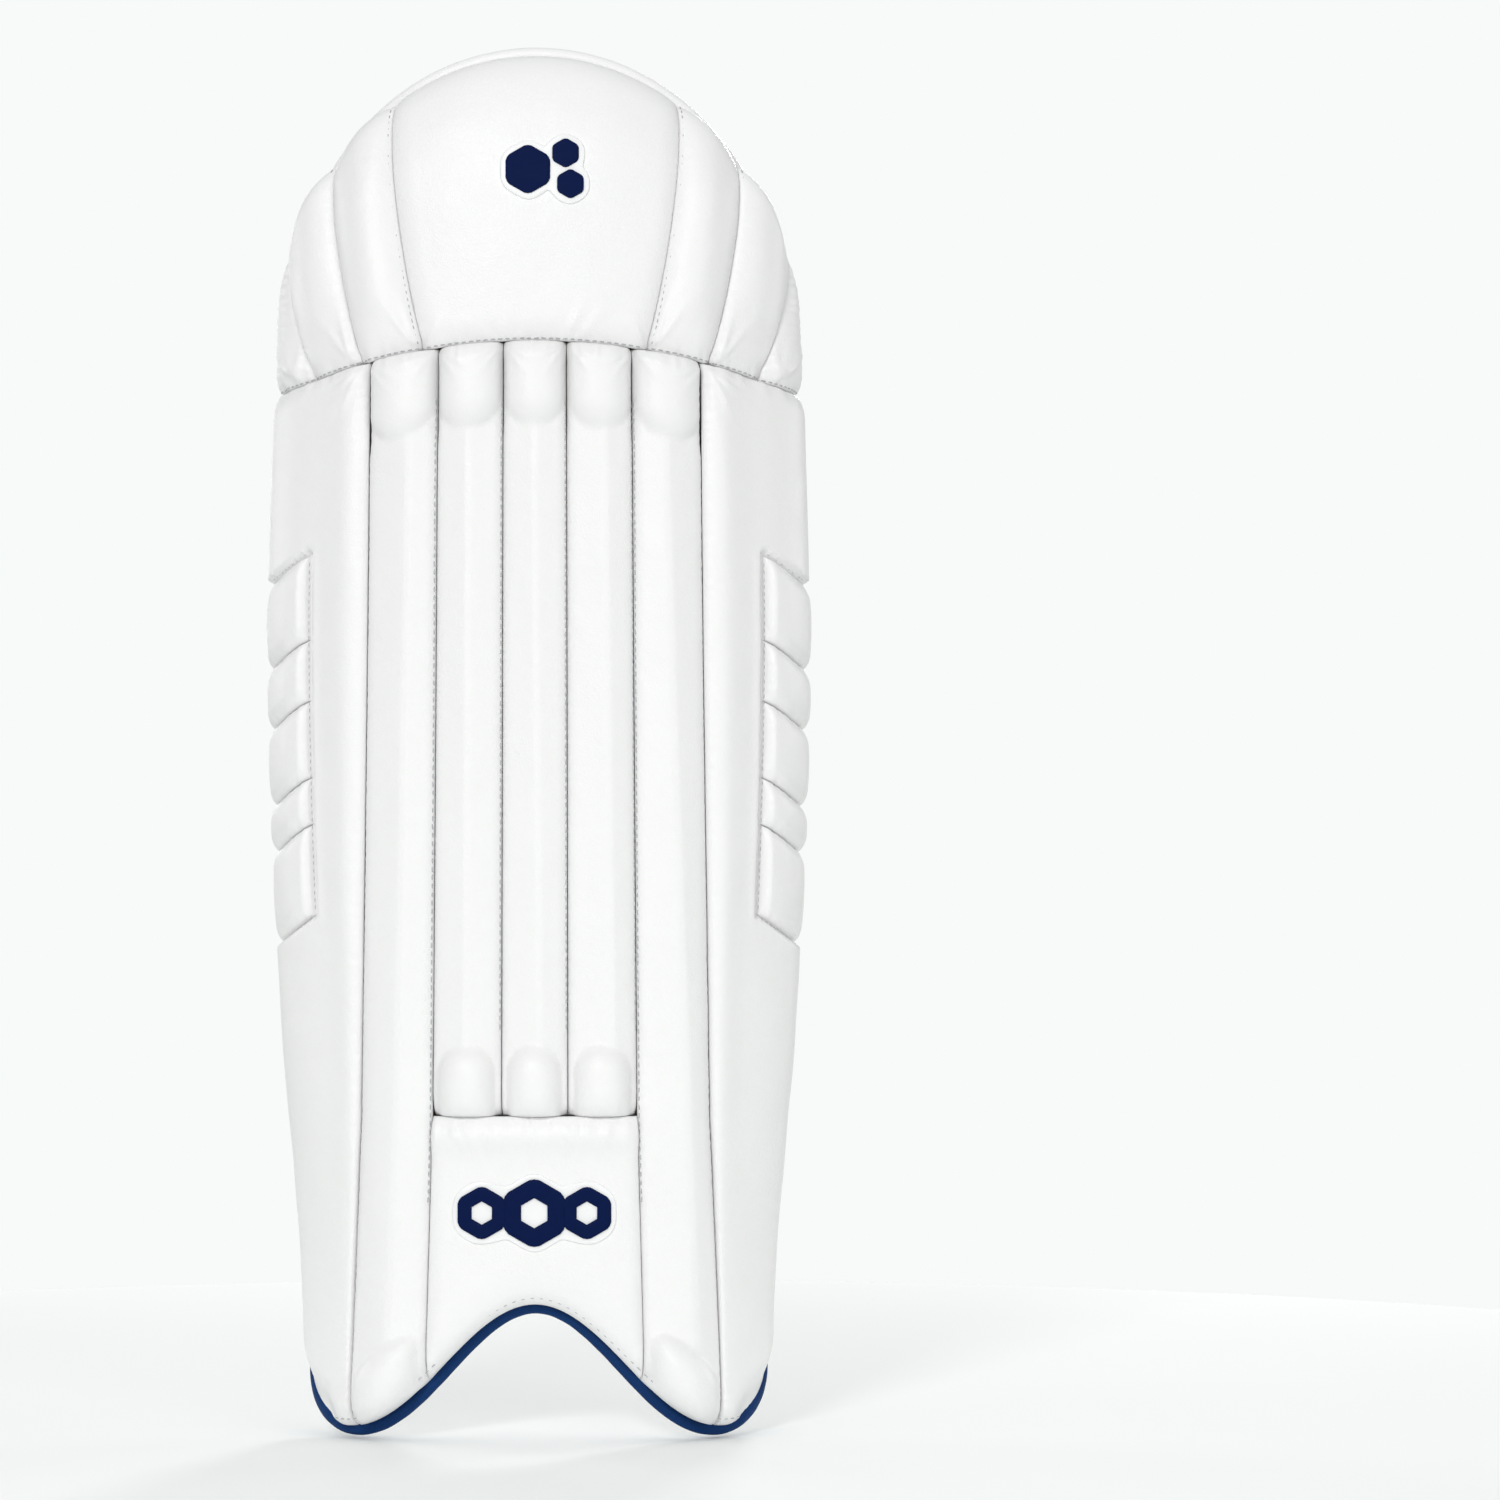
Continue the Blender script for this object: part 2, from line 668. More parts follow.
def knee_seam_stitches(g, t):
    """The stitches just above a panel's lower seam."""
    j = int(np.argmin(np.abs(g["low"][len(g["low"]) // 2] - 1.3)))
    sew(g["s"][3:-3, j], g["z"][3:-3, j], t[3:-3, j], 3.6, 2.4)


def knee_face():
    g = panel_grid(spread(80, 0.35, 0.35), spread(96, 0.3, 0.4), inset(mirror_line(KNEE_SEAMS[0]), 0.04),
                   inset(KNEE_SEAMS[0], -0.04), knee_low, knee_top)
    t = g["t"] + 0.9 * smooth(g["low"] / 60) * smooth(g["left"] / 40) * smooth(g["right"] / 40)
    t = t + roll(g["left"], 11, 4.3) + roll(g["right"], 11, 4.3) + roll(g["low"], 13, 5.0) + roll(g["high"], 12, 6.0)
    t = t + gathers(g["low"], g["x"], 9, 0.7, 6.0) + gathers(g["left"], g["z"], 5, 0.35, 4, 3)
    t = t + gathers(g["right"], g["z"], 5, 0.35, 4, 9) + wrinkle(g, 0.3)
    t = t + folds(g, 26, 2.2, [(x, float(knee_edge(x / KNEE_W)) + 1, angle, height) for x, angle, height in (
        (-16.7, 1.9, 0.7), (16.7, 1.15, 1.1), (24, 0.95, 0.8), (56, 2.0, 1.2), (-56, 1.1, 1.0), (-16, 1.3, 0.5))])
    cover("knee_face_cover", "knee_face", g, t, g["high"])
    knee_seam_stitches(g, t)


def petal(side, number):
    """One of the curved panels beside the knee face, numbered outwards. The third has no top edge of its own."""
    last = number == 3
    s_a, s_b = ((0.574, 0.806), (0.806, 0.972), (0.972, 1.0))[number - 1]
    puffed = lambda s: knee_top(s) + 3.0 * np.sin(np.pi * clamp01((np.abs(s) - s_a) / (s_b - s_a))) - 1.2
    far = rim_s if last else inset(KNEE_SEAMS[number], -0.04)
    g = panel_grid(spread(44, 0.35, 0.35), spread(88, 0.35, 0.4),
                   *sided(side, inset(KNEE_SEAMS[number - 1], 0.04), far), knee_low, level(586) if last else puffed)
    inner, outer = near_far(g, side)
    t = g["t"] + 3.0 * smooth(inner / 16) * smooth(outer / 16) * smooth(g["low"] / 34) + 0.95 * push(g["s"], g["z"])
    t = t + roll(inner, 10, 5.2) + roll(g["low"], 12, 5.0)
    t = t + (roll(outer, 7, 3.0) if last else roll(outer, 10, 5.2) + roll(g["high"], 12, 5.0))
    t = t + gathers(inner, g["z"], 5, 0.4, 4, 5 + number) + gathers(g["low"], g["x"], 8, 0.8, 6, number)
    t = t + gathers(outer, g["z"], 5, 0.4, 4, 15 + number) + wrinkle(g, 0.5)
    seam_x = float(KNEE_SEAMS[number - 1](535.0) * half_w(535.0))
    corner_z = float(knee_edge(seam_x / KNEE_W)) + 1
    t = t + folds(g, 38, 1.9, [(side * (seam_x + 2), corner_z, math.pi / 2 - side * lean * 0.55, height)
                               for lean, height in ((-0.1, 1.3), (0.45, 1.5), (1.1, 1.0))])
    cover(f"knee_petal_cover_{SIDES[side]}_{number}", f"knee_petal_{SIDES[side]}_{number}", g, t,
          outer if last else g["high"])
    knee_seam_stitches(g, t)
    edge, face = (-1, -6) if side < 0 else (0, 5)
    s, z = g["s"][edge][4:-2], g["z"][edge][4:-2]
    sew(s + side * 1.7 / half_w(z), z, t[face][4:-2] - 1.2, 3.6, 2.4)


knee_face()
for side in SIDES:
    for number in (1, 2, 3):
        petal(side, number)


# ------------------------------------------------------------------ front: the cane sleeves and the instep
RIDGES = {1: (0.27, 0.10), 2: (0.0, 0.0), 3: (0.0, 0.18), 4: (0.12, 0.28), 5: (-0.15, 0.28)}


def bulb(x, z, radius, round_z, height):
    """The rounded end of a cane's padding: full height from round_z out to the sleeve's end at 0, and falling
    away inwards."""
    inward = np.maximum(0, (z - round_z) * math.copysign(1, round_z))
    return height * np.sqrt(np.maximum(0, 1 - clamp01(np.hypot(x / radius, inward / (radius * 1.05))) ** 2.2))


def soft_max(a, b, k):
    h = clamp01(0.5 + 0.5 * (a - b) / k)
    return lerp(b, a, h) + k * h * (1 - h)


def cane_sleeve(number):
    """A long faceted sleeve. The first and the last are longer and run to the foot."""
    k = number - 3.5
    long = number in (1, 5)
    g = panel_grid(spread(44, 0.3, 0.3), spread(300 if long else 230, 0.35, 0.35), inset(cane_seam(k), HALF_GAP),
                   inset(cane_seam(k + 1), -HALF_GAP), foot_low if long else level(INSTEP_Z + HALF_GAP), under_knee)
    w = 2 * g["u"] - 1
    x = w * g["wide"] / 2
    side = np.minimum(g["left"], g["right"])
    ridge = lerp(RIDGES[number][1], RIDGES[number][0], clamp01((g["z"] - 180) / 340))
    off = w - ridge
    reach = np.where(off > 0, 1 - ridge, 1 + ridge)
    facet = 2.6 - 5.2 * np.sqrt((np.maximum(0, np.abs(off) - 0.07) / reach) ** 2 + 0.0010)
    from_top = g["z"] - knee_edge(g["s"])
    base = soft_max(facet + roll(side, 5.0, 2.6), -4.4 + bulb(x, from_top, 15.8, -27.0, 11.2), 0.7)
    if long:
        low_bulb = -5.2 + bulb(x, g["z"] - bottom_z(g["s"]) - EDGE_LIFT, 15.5, 20.0, 13.0)
    else:
        low_bulb = -5.6 + bulb(x, g["z"] - INSTEP_Z, 14.8, 21.0, 14.2)
    base = soft_max(base, low_bulb, 2.0)
    deep = smooth((from_top + 50) / 12) * smooth((-3 - from_top) / 8)
    t = g["t"] + base + roll(g["high"], 8, 5.0) + roll(g["low"], 12 if long else 13, 6.6)
    t = t + roll(side, 2.6 + 1.4 * deep, 1.6 + 3.2 * deep)
    for edge, seed in ((g["left"], 0), (g["right"], 1)):
        t = t + gathers(edge, g["z"], 5.2, 0.55 if long else 0.4, 3.2, k + seed)
    t = t + gathers(g["high"], g["x"], 7, 0.9, 6, number) + gathers(g["low"], g["x"], 7, 0.5, 5, number + 3)
    t = t + 0.12 * large(g["x"] * 2, g["z"]) + 0.10 * crease(g["x"], g["z"])
    starts = []
    for edge, angle, height in ((-1, -0.9, 1.3), (1, -2.2, 1.3), (-1, -0.40, 0.9), (1, -2.75, 0.9), (1, -1.8, 0.6)):
        start_x = float(cane_seam_x(k + (edge > 0), 535.0)) - 1.2 * edge
        starts.append((start_x, float(knee_edge(start_x / KNEE_W)) - 2.5, angle, height))
    t = t + folds(g, 19, 1.3, starts)
    cover(f"cane_sleeve_cover_{number}", f"cane_sleeve_{number}", g, t, g["low"] if long else None)
    for i, outward, step, outermost in ((0, -1, 2, 1), (-1, 1, -3, 5)):
        if number == outermost:
            s, z = g["s"][i][3:-3], g["z"][i][3:-3]
            sew(s + outward * 1.6 / half_w(z), z, t[i][3:-3] + 1.1, 4.2, 2.8)
        elif i == -1 or number == 5:
            line = slice(60 if long else 34, -26)
            sew(g["s"][step][line], g["z"][step][line], t[step][line] - 0.1, 4.2, 2.8, 0.8)


def instep_panel():
    g = panel_grid(spread(76, 0.35, 0.35), spread(84, 0.5, 0.3), inset(cane_seam(-1.5), HALF_GAP),
                   inset(cane_seam(1.5), -HALF_GAP), foot_low, level(INSTEP_Z - 0.04))
    t = g["t"] - 1.0 + 3.4 * bell((g["high"] - 9) / 8)
    t = t + roll(g["left"], 8, 3.8) + roll(g["right"], 8, 3.8) + roll(g["high"], 5, 2.2) + roll(g["low"], 9, 5.6)
    t = t + gathers(g["high"], g["x"], 8, 1.1, 11, 2) + gathers(g["left"], g["z"], 6, 0.3, 4, 6) + wrinkle(g, 0.25)
    t = t + folds(g, 26, 1.5, [(x, INSTEP_Z - 3, angle, height) for x, angle, height in (
        (-44, -1.0, 0.9), (-36, -1.2, 0.9), (-24, -1.5, 0.8), (-14, -1.6, 0.6), (4, -1.7, 0.5), (17, -1.45, 0.8),
        (28, -1.8, 0.6), (40, -2.0, 1.0))])
    cover("instep_cover", "instep_panel", g, t, g["low"])


for number in range(1, 6):
    cane_sleeve(number)
instep_panel()


# ------------------------------------------------------------------ front: the side wings
def slant(s, z):
    """How far the window's rows drop towards the pad's edge."""
    lean = clamp01((np.abs(s) - WINDOW_S) / (1 - WINDOW_S))
    return -WINDOW_SLANT * lean * smooth((z - FOOT_TOP) / 100) * smooth((500 - z) / 60)


def side_panel(side):
    us = np.unique(np.concatenate([np.linspace(0, 1, 56), np.linspace(0.56, 0.68, 12), np.linspace(0.9, 1, 12)]))
    if side < 0:
        us = 1 - us[::-1]
    g = panel_grid(us, spread(330, 0.35, 0.35), *sided(side, inset(cane_seam(2.5), HALF_GAP), lambda z: 1 + z * 0),
                   foot_low, under_knee)
    inner, _ = near_far(g, side)
    s, z = np.abs(g["s"]), g["z"]
    arc = (1 - s) * WING_ARC
    row = z - slant(s, z)
    first, last = BOLSTER_SEAMS[0], BOLSTER_SEAMS[-1]
    t = g["t"] + roll(inner, 10, 4.2) + roll(arc, 7, 3.0) + roll(g["high"], 11, 4.6) + roll(g["low"], 14, 6.4)
    t = t + push(s, z) + 2.2 * bell((s - 0.73) / 0.06)
    t = t + 0.6 * bell((s - WINDOW_S + 0.028) / 0.016) * smooth((row - 250) / 10) * smooth((440 - row) / 10)
    t = t - WINDOW_DIP * (smooth((s - WINDOW_S + 0.032) / 0.030) * smooth((row - first + 3) / 3.5)
                          * smooth((last + 3 - row) / 3.5))
    t = t + gathers(inner, z, 5.2, 0.55, 3.5, 30 + side) + gathers(g["high"], g["x"], 8, 0.9, 7, 8 + side)
    t = t + wrinkle(g, 0.5)
    corner_x = float(cane_seam_x(2.5, 528.0))
    corner_z = float(knee_edge(corner_x / KNEE_W)) - 3
    t = t + folds(g, 34, 1.8, [(side * (corner_x + 2), corner_z, -math.pi / 2 + side * lean, height)
                               for lean, height in ((0.15, 1.0), (0.45, 1.5), (0.85, 1.3), (1.2, 0.8))])
    t = t - (t - 7.6) * (1 - smooth(g["low"] / 24)) * smooth((s - 0.82) / 0.1)
    cover(f"side_cover_{SIDES[side]}", f"side_panel_{SIDES[side]}", g, t, np.minimum(g["low"], arc))


def window_floor(s, z):
    return body_t(s, z) + push(s, z) - WINDOW_DIP


def wing_bolster(side):
    """The row of stuffed segments in the window of one wing."""
    parts = []
    for i, (seam_low, seam_high) in enumerate(zip(BOLSTER_SEAMS, BOLSTER_SEAMS[1:])):
        z0, z1 = seam_low + 0.3, seam_high - 0.3
        u, v = np.meshgrid(spread(44, 0.25, 0.3), spread(40, 0.3, 0.3), indexing="ij")
        s = lerp(WINDOW_S + 0.003, 1.0, u)
        row = lerp(z0, z1, v)
        z = row + slant(s, row)
        arc = (s - WINDOW_S) * WING_ARC + 0.01
        seam = np.minimum(v, 1 - v) * (z1 - z0)
        floor_t = window_floor(s, z)
        crown = WINDOW_DIP + 1.35 + np.sin(np.pi * v)
        rise = dome(arc / 4.5) * (0.38 + 0.62 * dome(seam / 8))
        t = floor_t + 0.25 + crown * rise - 0.16 * np.maximum(0, arc - 11) - 1.6 * smooth((u - 0.86) / 0.14)
        t = t + gathers(seam, arc, 5, 0.5, 3, i) + gathers(arc, z, 5, 0.4, 3, 20 + i)
        inner = floor_t - 1.2
        outer = np.maximum(t, inner + 0.25)
        s, z, outer, inner = (grid[::side] for grid in (side * s, z, outer, inner))
        parts.append(block(place(s, z, outer), place(s, z, inner)))
        if i:
            s = np.linspace(WINDOW_S + 0.012, 0.992, 24)
            z = seam_low - 1.5 + slant(s, seam_low + s * 0)
            face = window_floor(s, z) + 2.86 - 0.16 * np.maximum(0, (s - WINDOW_S) * WING_ARC - 11)
            sew(side * s, z, face, 3.4, 2.3, 0.55)
    obj = make_object(f"wing_bolster_cover_{SIDES[side]}", *join_parts(parts), mat_cover, 60)
    settle(obj, "pad", "cover", f"wing_bolster_{SIDES[side]}")
    z = np.linspace(BOLSTER_SEAMS[0] + 2, BOLSTER_SEAMS[-1] - 2, 60)
    sew(side * (WINDOW_S + 0.004) + z * 0, z, window_floor(WINDOW_S, z) + 1.3, 3.6, 2.5)
    for end in (BOLSTER_SEAMS[0] - 1.5, BOLSTER_SEAMS[-1] + 1.5):
        s = np.linspace(WINDOW_S + 0.006, 0.985, 24)
        z = end + slant(s, end + s * 0)
        sew(side * s, z, window_floor(s, z) + 2.6, 3.4, 2.3, 0.55)


for side in SIDES:
    side_panel(side)
    wing_bolster(side)


# ------------------------------------------------------------------ back: linings
def lining(name, node, g, bulge, material, slot):
    """A lining over the grid g. bulge is how far its face stands in towards the leg."""
    mesh = block(place(g["s"], g["z"], LINING_T - 0.2), place(g["s"], g["z"], -bulge))
    return settle(make_object(name, *mesh, material), "pad", slot, node)


def knee_back():
    g = panel_grid(spread(190, 0.3, 0.3), spread(130, 0.35, 0.4), mirror_line(rim_line), rim_line,
                   lambda s: knee_back_edge(s) + HALF_GAP, lambda s: inner_top(s, 1.5))
    near = rim(g["s"], g["z"])
    t = 1.2 + 14.2 * dome((0.915 - near) / 0.42) * dome((g["low"] + 1) / 14)
    t = t + 0.8 * bell((g["low"] - 13) / 8) * clamp01((0.8 - near) * 8)
    t = t + 0.35 * large(g["x"], g["z"]) * clamp01((0.95 - near) * 5)
    t = t + gathers(g["low"], g["x"], 11, 1.1, 6, 4) * clamp01((0.85 - near) * 8) - 0.7 * bell((near - 0.925) / 0.012)
    obj = lining("knee_back_cover", "knee_back_panel", g, t, mat_back, "cover")
    return obj


def back_lining():
    g = panel_grid(spread(150, 0.3, 0.3), spread(120), mirror_line(rim_line), rim_line,
                   level(MESH_Z + HALF_GAP), lambda s: knee_back_edge(s) - HALF_GAP)
    side = np.minimum(g["left"], g["right"])
    bulge = 0.7 * smooth(side / 10) - 0.05 + gathers(side, g["z"], 9, 0.6, 7, 11)
    bulge = bulge + 0.30 * large(g["x"], g["z"]) + 0.22 * crease(g["x"] * 1.5, g["z"] * 0.6)
    obj = lining("back_lining_cloth", "back_lining", g, np.maximum(bulge, -0.9), mat_lining, "lining")


def mesh_near(z):
    return MESH_X / inner_a(z) / SECTION_Q


def mesh_lining(side):
    g = panel_grid(np.linspace(0, 1, 120), np.linspace(0, 1, 300), *sided(side, mesh_near, rim_line), inner_foot,
                   level(MESH_Z - HALF_GAP))
    across, up = g["x"] * MESH_SCALE[0] * MM, g["z"] * MESH_SCALE[1] * MM
    weave = (np.sin(across + up) + np.sin(across - up)) / 4
    near, out = near_far(g, side)
    full = smooth(near / 12) * smooth(out / 9) * smooth(g["low"] / 9) * smooth(g["high"] / 8)
    bulge = np.maximum(0.1 + (5.0 + weave) * full + 0.25 * large(g["x"], g["z"]), -0.9)
    obj = lining(f"mesh_lining_cloth_{SIDES[side]}", f"mesh_lining_{SIDES[side]}", g, bulge, mat_mesh, "mesh")


def instep_lining():
    g = panel_grid(spread(90, 0.4, 0.4), spread(110, 0.5, 0.5), inset(mirror_line(mesh_near), 0.7),
                   inset(mesh_near, -0.7), inner_foot, level(MESH_Z - HALF_GAP))
    side = np.minimum(g["left"], g["right"])
    bulge = 0.1 + 1.1 * smooth(side / 8) * smooth(g["low"] / 9) + 0.3 * large(g["x"], g["z"])
    obj = lining("instep_lining_cloth", "instep_lining", g, np.maximum(bulge, -0.9), mat_panel, "instep_lining")


knee_back_cover = knee_back()
back_lining()
for side in SIDES:
    mesh_lining(side)
instep_lining()


# ------------------------------------------------------------------ back: the stuffed rolls and the shin cushion
AROUND = 52  # points round a cushion


def case_mesh(along, at):
    """A closed sewn case with loops of points at each of along steps and capped ends. at(p, q, v) gives points, where
    p and q run round a rounded square and v along the case."""
    k = (np.arange(AROUND) + 0.5) * 2 * np.pi / AROUND
    p, q = (np.sign(v) * np.abs(v) ** 0.33 for v in (np.cos(k), np.sin(k)))
    cap = (0.75, 0.5, 0.25)
    rings = [at(p * f, q * f, 0.0) for f in cap[::-1]] + [at(p, q, v) for v in along] + [
        at(p * f, q * f, 1.0) for f in cap]
    tips = [at(np.zeros(1), np.zeros(1), v) for v in (0.0, 1.0)]
    faces = loop_faces(len(rings), AROUND, 1)
    last = 1 + len(rings) * AROUND
    for j in range(AROUND):
        k = (j + 1) % AROUND
        faces += [[0, 1 + k, 1 + j], [last, last - AROUND + j, last - AROUND + k]]
    return np.concatenate([tips[0], *rings, tips[1]]), faces


def puff_up(obj, pinned):
    """Inflates a sewn case as cloth, with the pinned points held, and limits how far each point moves."""
    frames, slack, pressure, limit = 20, 0.012, 3.0, 4.5
    start = np.array([v.co[:] for v in obj.data.vertices])
    group = obj.vertex_groups.new(name="sewn")
    group.add([int(i) for i in np.nonzero(pinned)[0]], 1.0, "REPLACE")
    cloth = obj.modifiers.new("cloth", "CLOTH")
    s = cloth.settings
    s.quality, s.mass, s.air_damping = 6, 0.25, 3.0
    s.tension_stiffness = s.compression_stiffness = 18.0
    s.shear_stiffness, s.bending_stiffness = 9.0, 0.6
    s.use_pressure, s.uniform_pressure_force = True, pressure
    s.shrink_min = -slack
    s.vertex_group_mass, s.pin_stiffness = "sewn", 1.0
    s.effector_weights.gravity = 0.0
    cloth.collision_settings.use_collision = False
    cloth.point_cache.frame_start, cloth.point_cache.frame_end = 1, frames
    for f in range(1, frames + 1):
        bpy.context.scene.frame_set(f)
    shape = obj.evaluated_get(bpy.context.evaluated_depsgraph_get())
    move = np.array([v.co[:] for v in shape.data.vertices]) - start
    obj.modifiers.remove(cloth)
    obj.vertex_groups.clear()
    bpy.context.scene.frame_set(1)
    size = np.linalg.norm(move, axis=1, keepdims=True)
    return (start + move * np.tanh(size / (limit * MM)) * limit * MM / np.maximum(size, 1e-9)) / MM


def cushion(name, node, x0, x1, rear, material, slot, low, drop, gather, ruffle=lambda x: 0 * x):
    """A stuffed case from x0 to x1. rear is the y of its face, low its bottom edge, drop its sideways lean at the
    foot, gather its puckers at the top and ruffle the waves in its top edge. Gives the finished object and the
    points of its case."""
    top = lambda x: knee_back_edge(x / inner_a(520.0)) + 1.5 + ruffle(x)
    behind = lambda x, z: lining_y(np.clip(x, -112, 112), z)

    def at(p, q, v):
        u = 0.5 + 0.5 * p
        base_x = lerp(x0, x1, u)
        z = lerp(low(base_x), top(base_x), v)
        x = base_x - 0.4 * math.sin(math.pi * v) * (u - 0.5) + drop * (1 - v) ** 2
        front = behind(x, z) + 1.2
        end = min(1.0, 0.45 + 0.55 * float(dome(v * 16)), 0.30 + 0.7 * float(dome((1 - v) * 14)))
        return np.stack([x, front + (rear - front) * end * (0.5 + 0.5 * q), z + 0 * x], -1)

    verts, faces = case_mesh(spread(92, 0.6, 0.5), at)
    obj = make_object(name, verts, faces, material, 0)
    x, y, z = verts.T
    verts = puff_up(obj, (y < behind(x, z) + 3.5) | (z > top(x) - 1.0))
    set_points(obj.data, verts)
    obj.data.update()
    smoother = obj.modifiers.new("subdivide", "SUBSURF")
    smoother.levels = smoother.render_levels = 2
    mesh = bpy.data.meshes.new_from_object(obj.evaluated_get(bpy.context.evaluated_depsgraph_get()))
    obj.modifiers.clear()
    obj.data = mesh
    x, y, z = np.array([v.co[:] for v in mesh.vertices]).T / MM
    rearward = clamp01((y - behind(x, z) - 6) / 12)
    y = y + rearward * (0.35 * Wave(46, 9, 1.8)(x, z) + 0.35 * large(x, z) + gather(x, np.maximum(top(x) - z, 0)))
    y = np.minimum(y, rear + 4.2 - 0.4 * np.exp(-np.maximum(0, rear + 4.2 - y)))
    set_points(mesh, np.stack([x, y, z], -1))
    mesh.shade_smooth()
    settle(obj, "pad", slot, node)
    return obj, verts


def edge_bead(name, case, column, push_x):
    """A narrow sewn edge along one corner of a cushion's case."""
    rows = np.arange(4, 94)
    path = case[1 + rows * AROUND + column] + [push_x, 0.3, 0.0]
    side = unit(np.cross(tangents(path), REARWARD))
    mesh = sweep(path, side, np.cross(side, tangents(path)), 1.5, 1.5, 0.5, 8)
    settle(make_object(name, *mesh, mat_lining, 0), "pad", "lining")


def pinches(places, size, length):
    """Puckers that hang down from stitched points along the top edge, each at x, with a depth and a lean."""
    def push_in(x, down):
        wide = size * (0.5 + 1.1 * clamp01(down / length))
        fade = clamp01(1.15 - down / length) ** 1.4
        return -sum(depth * fade * bell((x - at_x - lean * down) / wide) for at_x, depth, lean in places)
    return push_in


def tucks(places, length):
    """Short sharp tucks where a thread draws the top edge together."""
    def push_in(x, down):
        fade = clamp01(1.1 - down / length)
        return -sum(depth * fade * bell((x - at_x - lean * down) / (1.5 + 0.07 * down)) for at_x, depth, lean in places)
    return push_in


calm = pinches([(38, 1.2, 0.1), (52, 0.9, -0.2), (78, 1.2, 0.25), (92, 0.8, 0.3)], 3.4, 30.0)
soft_folds = pinches([(-41, 2.6, -0.34), (-50, 4.4, -0.20), (-58, 4.6, -0.12), (-65, 4.0, 0.02), (-72, 4.6, 0.10),
                      (-80, 4.2, 0.18), (-89, 3.0, 0.3)], 3.0, 44.0)
sharp_folds = tucks([(-42, 3.0, -0.3), (-49, 4.6, 0.25), (-55, 5.2, -0.2), (-61, 4.4, 0.3), (-67, 5.2, -0.1),
                     (-74, 4.8, 0.2), (-81, 4.6, -0.25), (-87, 3.6, 0.3)], 17.0)
centre = pinches([(-24, 2.6, 0.2), (-12, 1.3, -0.2), (4, 1.6, 0.25), (20, 2.4, -0.35), (27, 2.6, -0.5)], 3.2, 34.0)

_, right_case = cushion(
    "bolster_cover_right", "bolster_right", BOLSTER_X0 - 0.5, BOLSTER_X1 + 0.8, -14.2, mat_towel, "cushion",
    lambda x: 127 - 2.5 * np.cos((x - 62) / 24), 1.0, calm)
_, left_case = cushion(
    "bolster_cover_left", "bolster_left", -BOLSTER_X1 - 0.8, -BOLSTER_X0 + 0.5, -14.2, mat_towel, "cushion",
    lambda x: 128 + (x + 33) * 0.13, 1.5, lambda x, down: soft_folds(x, down) + sharp_folds(x, down),
    lambda x: 1.1 * np.sin(x / 2.1) * clamp01((-x - 44) / 6) + 1.2 * clamp01((-x - 44) / 10))
shin_cover, _ = cushion(
    "shin_cover", "shin_cushion", -4.6 - BOLSTER_X0, BOLSTER_X0 + 4.6, -30.0, mat_panel, "shin_panel",
    lambda x: 128 - 3 * np.cos(x / 17), 0.5, centre)
for name, case, inner, outer, out_x in (("right", right_case, 21, 4, 0.3), ("left", left_case, 4, 21, -0.3)):
    edge_bead(f"bolster_edge_{name}_outer", case, outer, out_x)
    edge_bead(f"bolster_edge_{name}_inner", case, inner, -out_x)


# ------------------------------------------------------------------ bindings and the welt
def round_strip(name, node, path, radius, material, slot, seed):
    """A folded binding along path, with the small ripples of a sewn strip."""
    path = relax(along_path(path, np.linspace(0, run_length(path)[-1], max(8, int(run_length(path)[-1] / 2.0)))), 2)
    along = tangents(path)
    side = unit(np.cross(along, REARWARD))
    up = np.cross(side, along)
    length = run_length(path)
    ripple = 1 + 0.022 * gather_wave(length, length * 0 + seed)[:, None] + (
        0.035 * np.sin(2 * np.pi * length / 4.2)[:, None] * bell(np.cos(np.arange(20) * 2 * np.pi / 20) / 0.3)[None])
    cs, ct = superellipse(20, 0.82)
    loops = path[:, None] + radius * ripple[..., None] * (
        side[:, None] * cs[None, :, None] + up[:, None] * ct[None, :, None])
    settle(make_object(name, *capped(loops), material, 60), "pad", slot, node)


def mirrored(half, middle):
    """A path from its left half and its middle."""
    return np.concatenate([half, middle, (half * [-1, 1, 1])[::-1]])


def foot_path(t):
    """Down the left edge, round the lobe, over the arch and up the right edge."""
    rise = np.linspace(BINDING_Z - 0.3, CORNER_H + PIPING_R + 2, 60)
    turn = np.linspace(math.radians(88), 0.02, 34)
    corner_s = -(LOBE_X + (ANKLE_W - LOBE_X) * np.sin(turn)) / ANKLE_W
    half = np.concatenate([
        place(-1, rise, t + 1.3 * smooth((110 - rise) / 70)),
        place(corner_s, CORNER_H * (1 - np.cos(turn)) + PIPING_R, t + 1.3 * smooth(turn / 0.8))])
    arch_s = np.linspace(-1, 1, 170)[1:-1] * LOBE_X / ANKLE_W
    return mirrored(half, place(arch_s, bottom_z(arch_s) + PIPING_R, t))


def top_path(t):
    turn = np.radians(np.linspace(-90, 90, 150)[1:-1])
    rise = np.linspace(BINDING_Z + 0.3, ARCH_Z - 1, 130)
    return mirrored(place(-1, rise, t), place(np.sin(turn), ARCH_Z + RIM_R * np.cos(turn), t))


